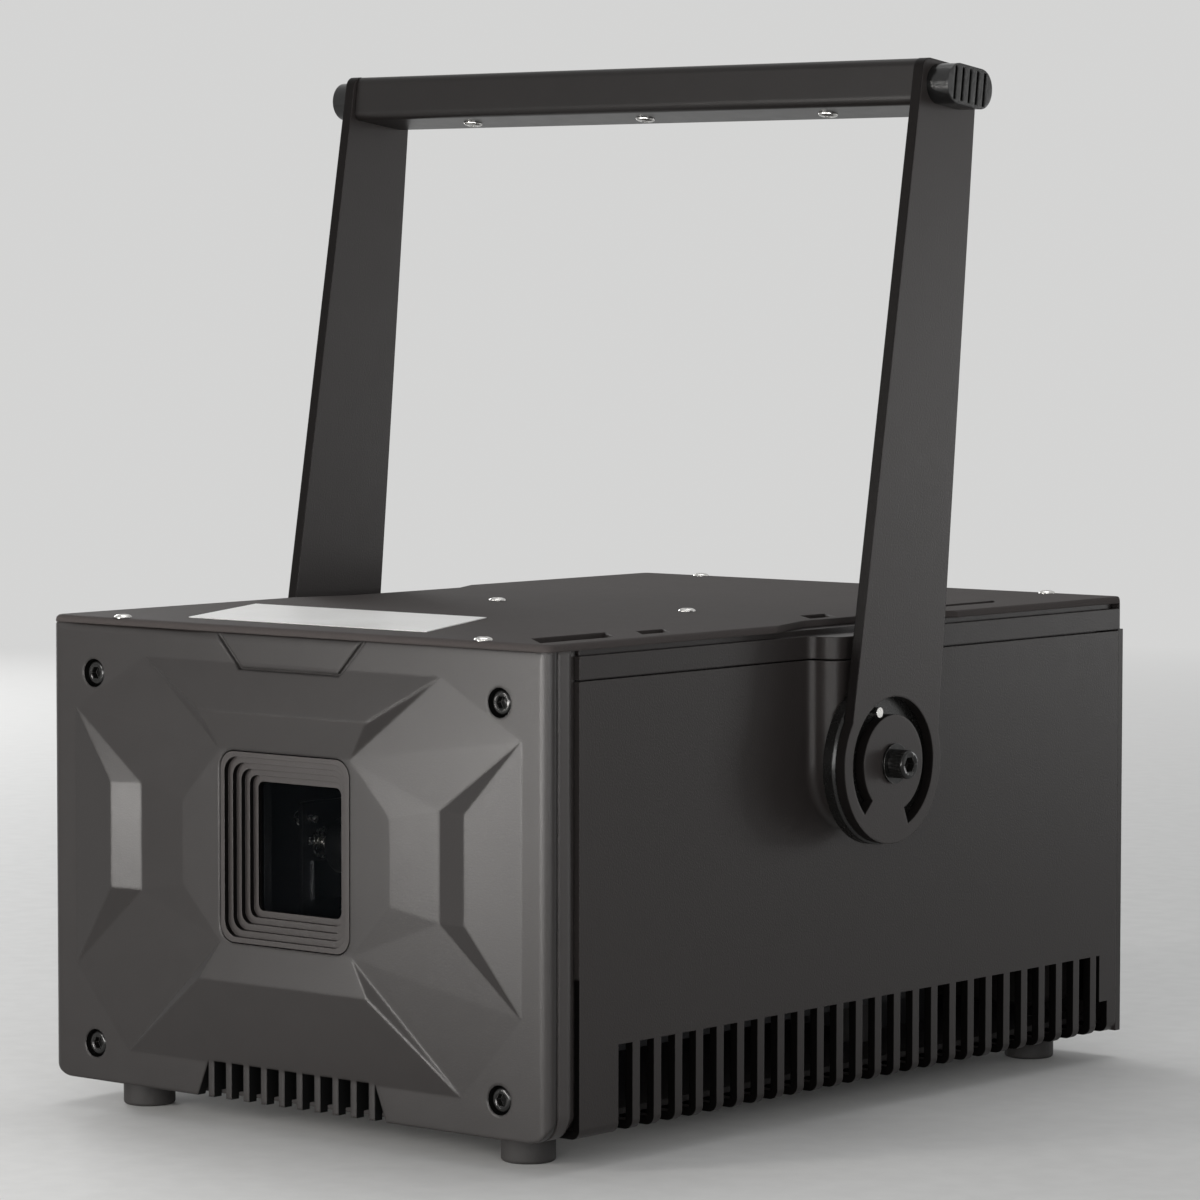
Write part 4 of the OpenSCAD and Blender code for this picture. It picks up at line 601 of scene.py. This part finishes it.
def loop(bm, frame, radius, height, sides=0, teeth=0.0):
    """One loop of a turned piece: round, a polygon across its flats, or toothed by a depth."""
    made = []
    for i in range(TURN):
        a = 2 * math.pi * i / TURN
        r = radius - (teeth if i % 4 > 1 else 0.0)
        if sides:
            half = math.pi / sides
            r = radius / math.cos(a % (2 * half) - half)
        made.append(bm.verts.new(frame @ Vector((r * math.cos(a), r * math.sin(a), height))))
    return made


def turned(bm, frame, rings):
    """Joins loops from the tip of the shank to the floor of the socket, and closes both ends."""
    loops = [loop(bm, frame, *ring) for ring in rings]
    for low, high in zip(loops, loops[1:]):
        for i in range(TURN):
            j = (i + 1) % TURN
            bm.faces.new((low[i], low[j], high[j], high[i]))
    bm.faces.new(list(reversed(loops[0])))
    bm.faces.new(loops[-1])


def rounding(radius, height, r, steps=4):
    """Loops that round a head's upper edge by r."""
    return [(radius - r + r * math.cos(a), height - r + r * math.sin(a))
            for a in (math.pi / 2 * k / steps for k in range(steps + 1))]


def socket_screw(bm, at, out, shank_d, long, head_d, head_h, hex_flats, edge, teeth=0.0):
    """A cap screw with a rounded head, a countersunk hexagon socket and a chamfered tip."""
    tip = 0.12 * shank_d
    rings = [(shank_d / 2 - tip, -long), (shank_d / 2, tip - long), (shank_d / 2, 0.0),
             (head_d / 2 - 0.15, 0.0), (head_d / 2, 0.15)]
    if teeth:
        rings += [(head_d / 2, 0.4), (head_d / 2, 0.7, 0, teeth),
                  (head_d / 2, head_h - edge - 0.5, 0, teeth), (head_d / 2, head_h - edge - 0.3)]
    rings += rounding(head_d / 2, head_h, edge)
    floor_h = head_h * 0.45
    rings += [(hex_flats * 0.62, head_h), (hex_flats / 2, head_h - 0.25, 6),
              (hex_flats / 2, floor_h, 6), (hex_flats / 4, floor_h - 0.2)]
    turned(bm, facing(at, out), rings)


def front_screws():
    """Cap screws in the counterbores of the front panel."""
    bm = bmesh.new()
    for x in (-SCREW_X, SCREW_X):
        for z in SCREW_HEIGHTS:
            socket_screw(bm, (x, FRONT_SEAT_Y, z), (0, -1, 0), 5.0, 8.0, 8.5, 4.6, 4.0, 1.1)
    add_piece("front_cap_screws", bm, [screw_black], "case", "front_screws")


def pivot_bolts():
    """Knurled cap screws that the yoke turns on."""
    bm = bmesh.new()
    for s in (-1, 1):
        at = (s * PIVOT_SEAT_X, PIVOT_Y, PIVOT_Z)
        socket_screw(bm, at, (s, 0, 0), 6.0, 24.2, 10.0, 6.0, 5.0, 0.7, 0.22)
    add_piece("knurled_pivot_bolts", bm, [screw_black], "case", "pivot_bolts")


def cover_screws():
    """Domed screws whose thick heads stand up through the cover."""
    rings = [(1.2, -5.5), (1.5, -5.1), (1.5, 0.0), (2.6, 0.0), (2.75, 0.15), (2.75, 1.55),
             (2.9, 1.6), (3.1, 1.65)]
    rings += [(3.1 * math.cos(a), 1.75 + 1.15 * math.sin(a)) for a in (0.0, 0.25, 0.5, 0.75, 0.98)]
    rings += [(1.05, 2.68, 6), (1.05, 1.4, 6), (0.5, 1.2)]
    bm = bmesh.new()
    for x, y in COVER_PLACES:
        turned(bm, facing((x, y, COVER_SEAT_Z), (0, 0, 1)), rings)
    add_piece("cover_button_screws", bm, [bright_steel], "case", "cover_screws")


def bar_screws():
    """Domed screws that point out of the underside of the leaning crossbar."""
    rings = [(1.6, -6.0), (2.0, -5.6), (2.0, 0.0), (3.4, 0.0), (3.5, 0.15)]
    rings += [(3.5 * math.cos(a), 0.4 + 1.1 * math.sin(a)) for a in (0.0, 0.3, 0.6, 0.9)]
    rings += [(1.25, 1.28, 6), (1.25, 0.5, 6), (0.6, 0.3)]
    up = Vector((0.0, math.sin(BAR_LEAN), math.cos(BAR_LEAN)))
    seat = Vector((0.0, PIVOT_Y, PIVOT_Z)) + up * BAR_SEAT
    bm = bmesh.new()
    for x in BAR_X:
        turned(bm, facing(seat + Vector((x, 0, 0)), -up), rings)
    add_piece("bar_button_screws", bm, [bright_steel], "yoke", "crossbar_screws")


def rear_screws():
    """The screws of the rear panel, and those that hold the fans and their guards."""
    bm = bmesh.new()
    for places, seat_y in ((REAR_PLACES, REAR_SEAT_Y), (GUARD_PLACES, GUARD_SEAT_Y)):
        for x, z in places:
            socket_screw(bm, (x, seat_y, z), (0, 1, 0), 3.0, 7.0, 5.6, 2.0, 2.0, 0.6)
    add_piece("rear_cap_screws", bm, [black_steel], "case", "rear_screws")


def on_outline(edge, depth):
    """True for an edge of the panel's front face within a depth of its sides or its top."""
    if any(abs(v.co.y - FRONT_Y) > FLAT_WITHIN for v in edge.verts) or len(edge.link_faces) != 2:
        return False
    facing_out = sorted(abs(f.normal.y) for f in edge.link_faces)
    if facing_out[0] > 0.2 or facing_out[1] < 0.95:
        return False
    return all(abs(v.co.x) > HALF_W - depth or v.co.z > CASE_TOP - depth for v in edge.verts)


def front_panel():
    """The cast panel with its outer edge rounded off, and painted shade in its counterbores and on its vent
    walls.
    """
    bm = bmesh.new()
    bm.from_mesh(nodes["front_panel"].data)
    bmesh.ops.remove_doubles(bm, verts=bm.verts, dist=WELD_WITHIN)
    bmesh.ops.dissolve_limit(bm, angle_limit=FLAT_ANGLE, verts=bm.verts, edges=bm.edges)
    bm.normal_update()
    outline = [e for e in bm.edges if on_outline(e, OUTLINE_DEPTH)]
    rounded = bmesh.ops.bevel(bm, geom=outline, offset=EDGE_ROUNDING, segments=6, profile=0.5,
                              affect="EDGES", clamp_overlap=False)
    for f in bm.faces:
        f.smooth = False
    for f in rounded["faces"]:
        f.smooth = True
    for f in bm.faces:
        c = f.calc_center_median()
        near = min(math.hypot(abs(c.x) - SCREW_X * MM, c.z - z * MM) for z in SCREW_HEIGHTS)
        # Painted shade: the counterbore's inside takes the screws' black finish.
        if near < BORE_REACH and c.y > FRONT_Y + BORE_BELOW:
            f.material_index = 1
        # Painted shade: the vent's side walls take the near-black finish.
        if abs(f.normal.x) > 0.8 and abs(c.x) < VENT_HALF_W and c.z < VENT_TOP:
            f.material_index = 2
    coats = [panel_coat, screw_black, painted_shade_black]
    add_piece("cast_front_panel", bm, coats, "case", "front_panel", 0)


front_panel()
front_screws()
pivot_bolts()
cover_screws()
bar_screws()
rear_screws()


# ---------------------------------------------------------------- floor
FLOOR_RADIUS = 14.0
# Distances from the object between which the floor fades into the backdrop
FADE_FROM, FADE_TO = 0.6, 2.2


def floor_finish():
    """Pale floor that fades into the backdrop far from the object."""
    f = Finish("floor", Specular_IOR_Level=0.2, Roughness=0.7)
    grain = f.noise(90.0, 3.0)
    f.colour(f.blend(f.fit(grain, 0.35, 0.65, 0.0, 1.0), (0.70, 0.70, 0.69), (0.73, 0.73, 0.72)))
    far = f.tree.nodes.new("ShaderNodeVectorMath")
    far.operation = "LENGTH"
    f.link(f.place, far.inputs[0])
    glow = f.tree.nodes.new("ShaderNodeEmission")
    glow.inputs["Color"].default_value = (*BACKDROP, 1.0)
    fade = f.tree.nodes.new("ShaderNodeMixShader")
    amount = f.fit(far.outputs["Value"], FADE_FROM, FADE_TO, 0.0, 1.0)
    f.link(f.sums("MULTIPLY", amount, seen_rays(f.tree)), fade.inputs["Fac"])
    f.link(f.shader.outputs[0], fade.inputs[1])
    f.link(glow.outputs[0], fade.inputs[2])
    f.link(fade.outputs[0], f.out.inputs["Surface"])
    return f.material


def make_floor():
    """The round floor, which is part of the stage."""
    bm = bmesh.new()
    bmesh.ops.create_circle(bm, cap_ends=True, segments=96, radius=FLOOR_RADIUS)
    mesh = bpy.data.meshes.new("floor")
    bm.to_mesh(mesh)
    bm.free()
    mesh.materials.append(floor_finish())
    floor = bpy.data.objects.new("floor", mesh)
    scene.collection.objects.link(floor)


make_floor()
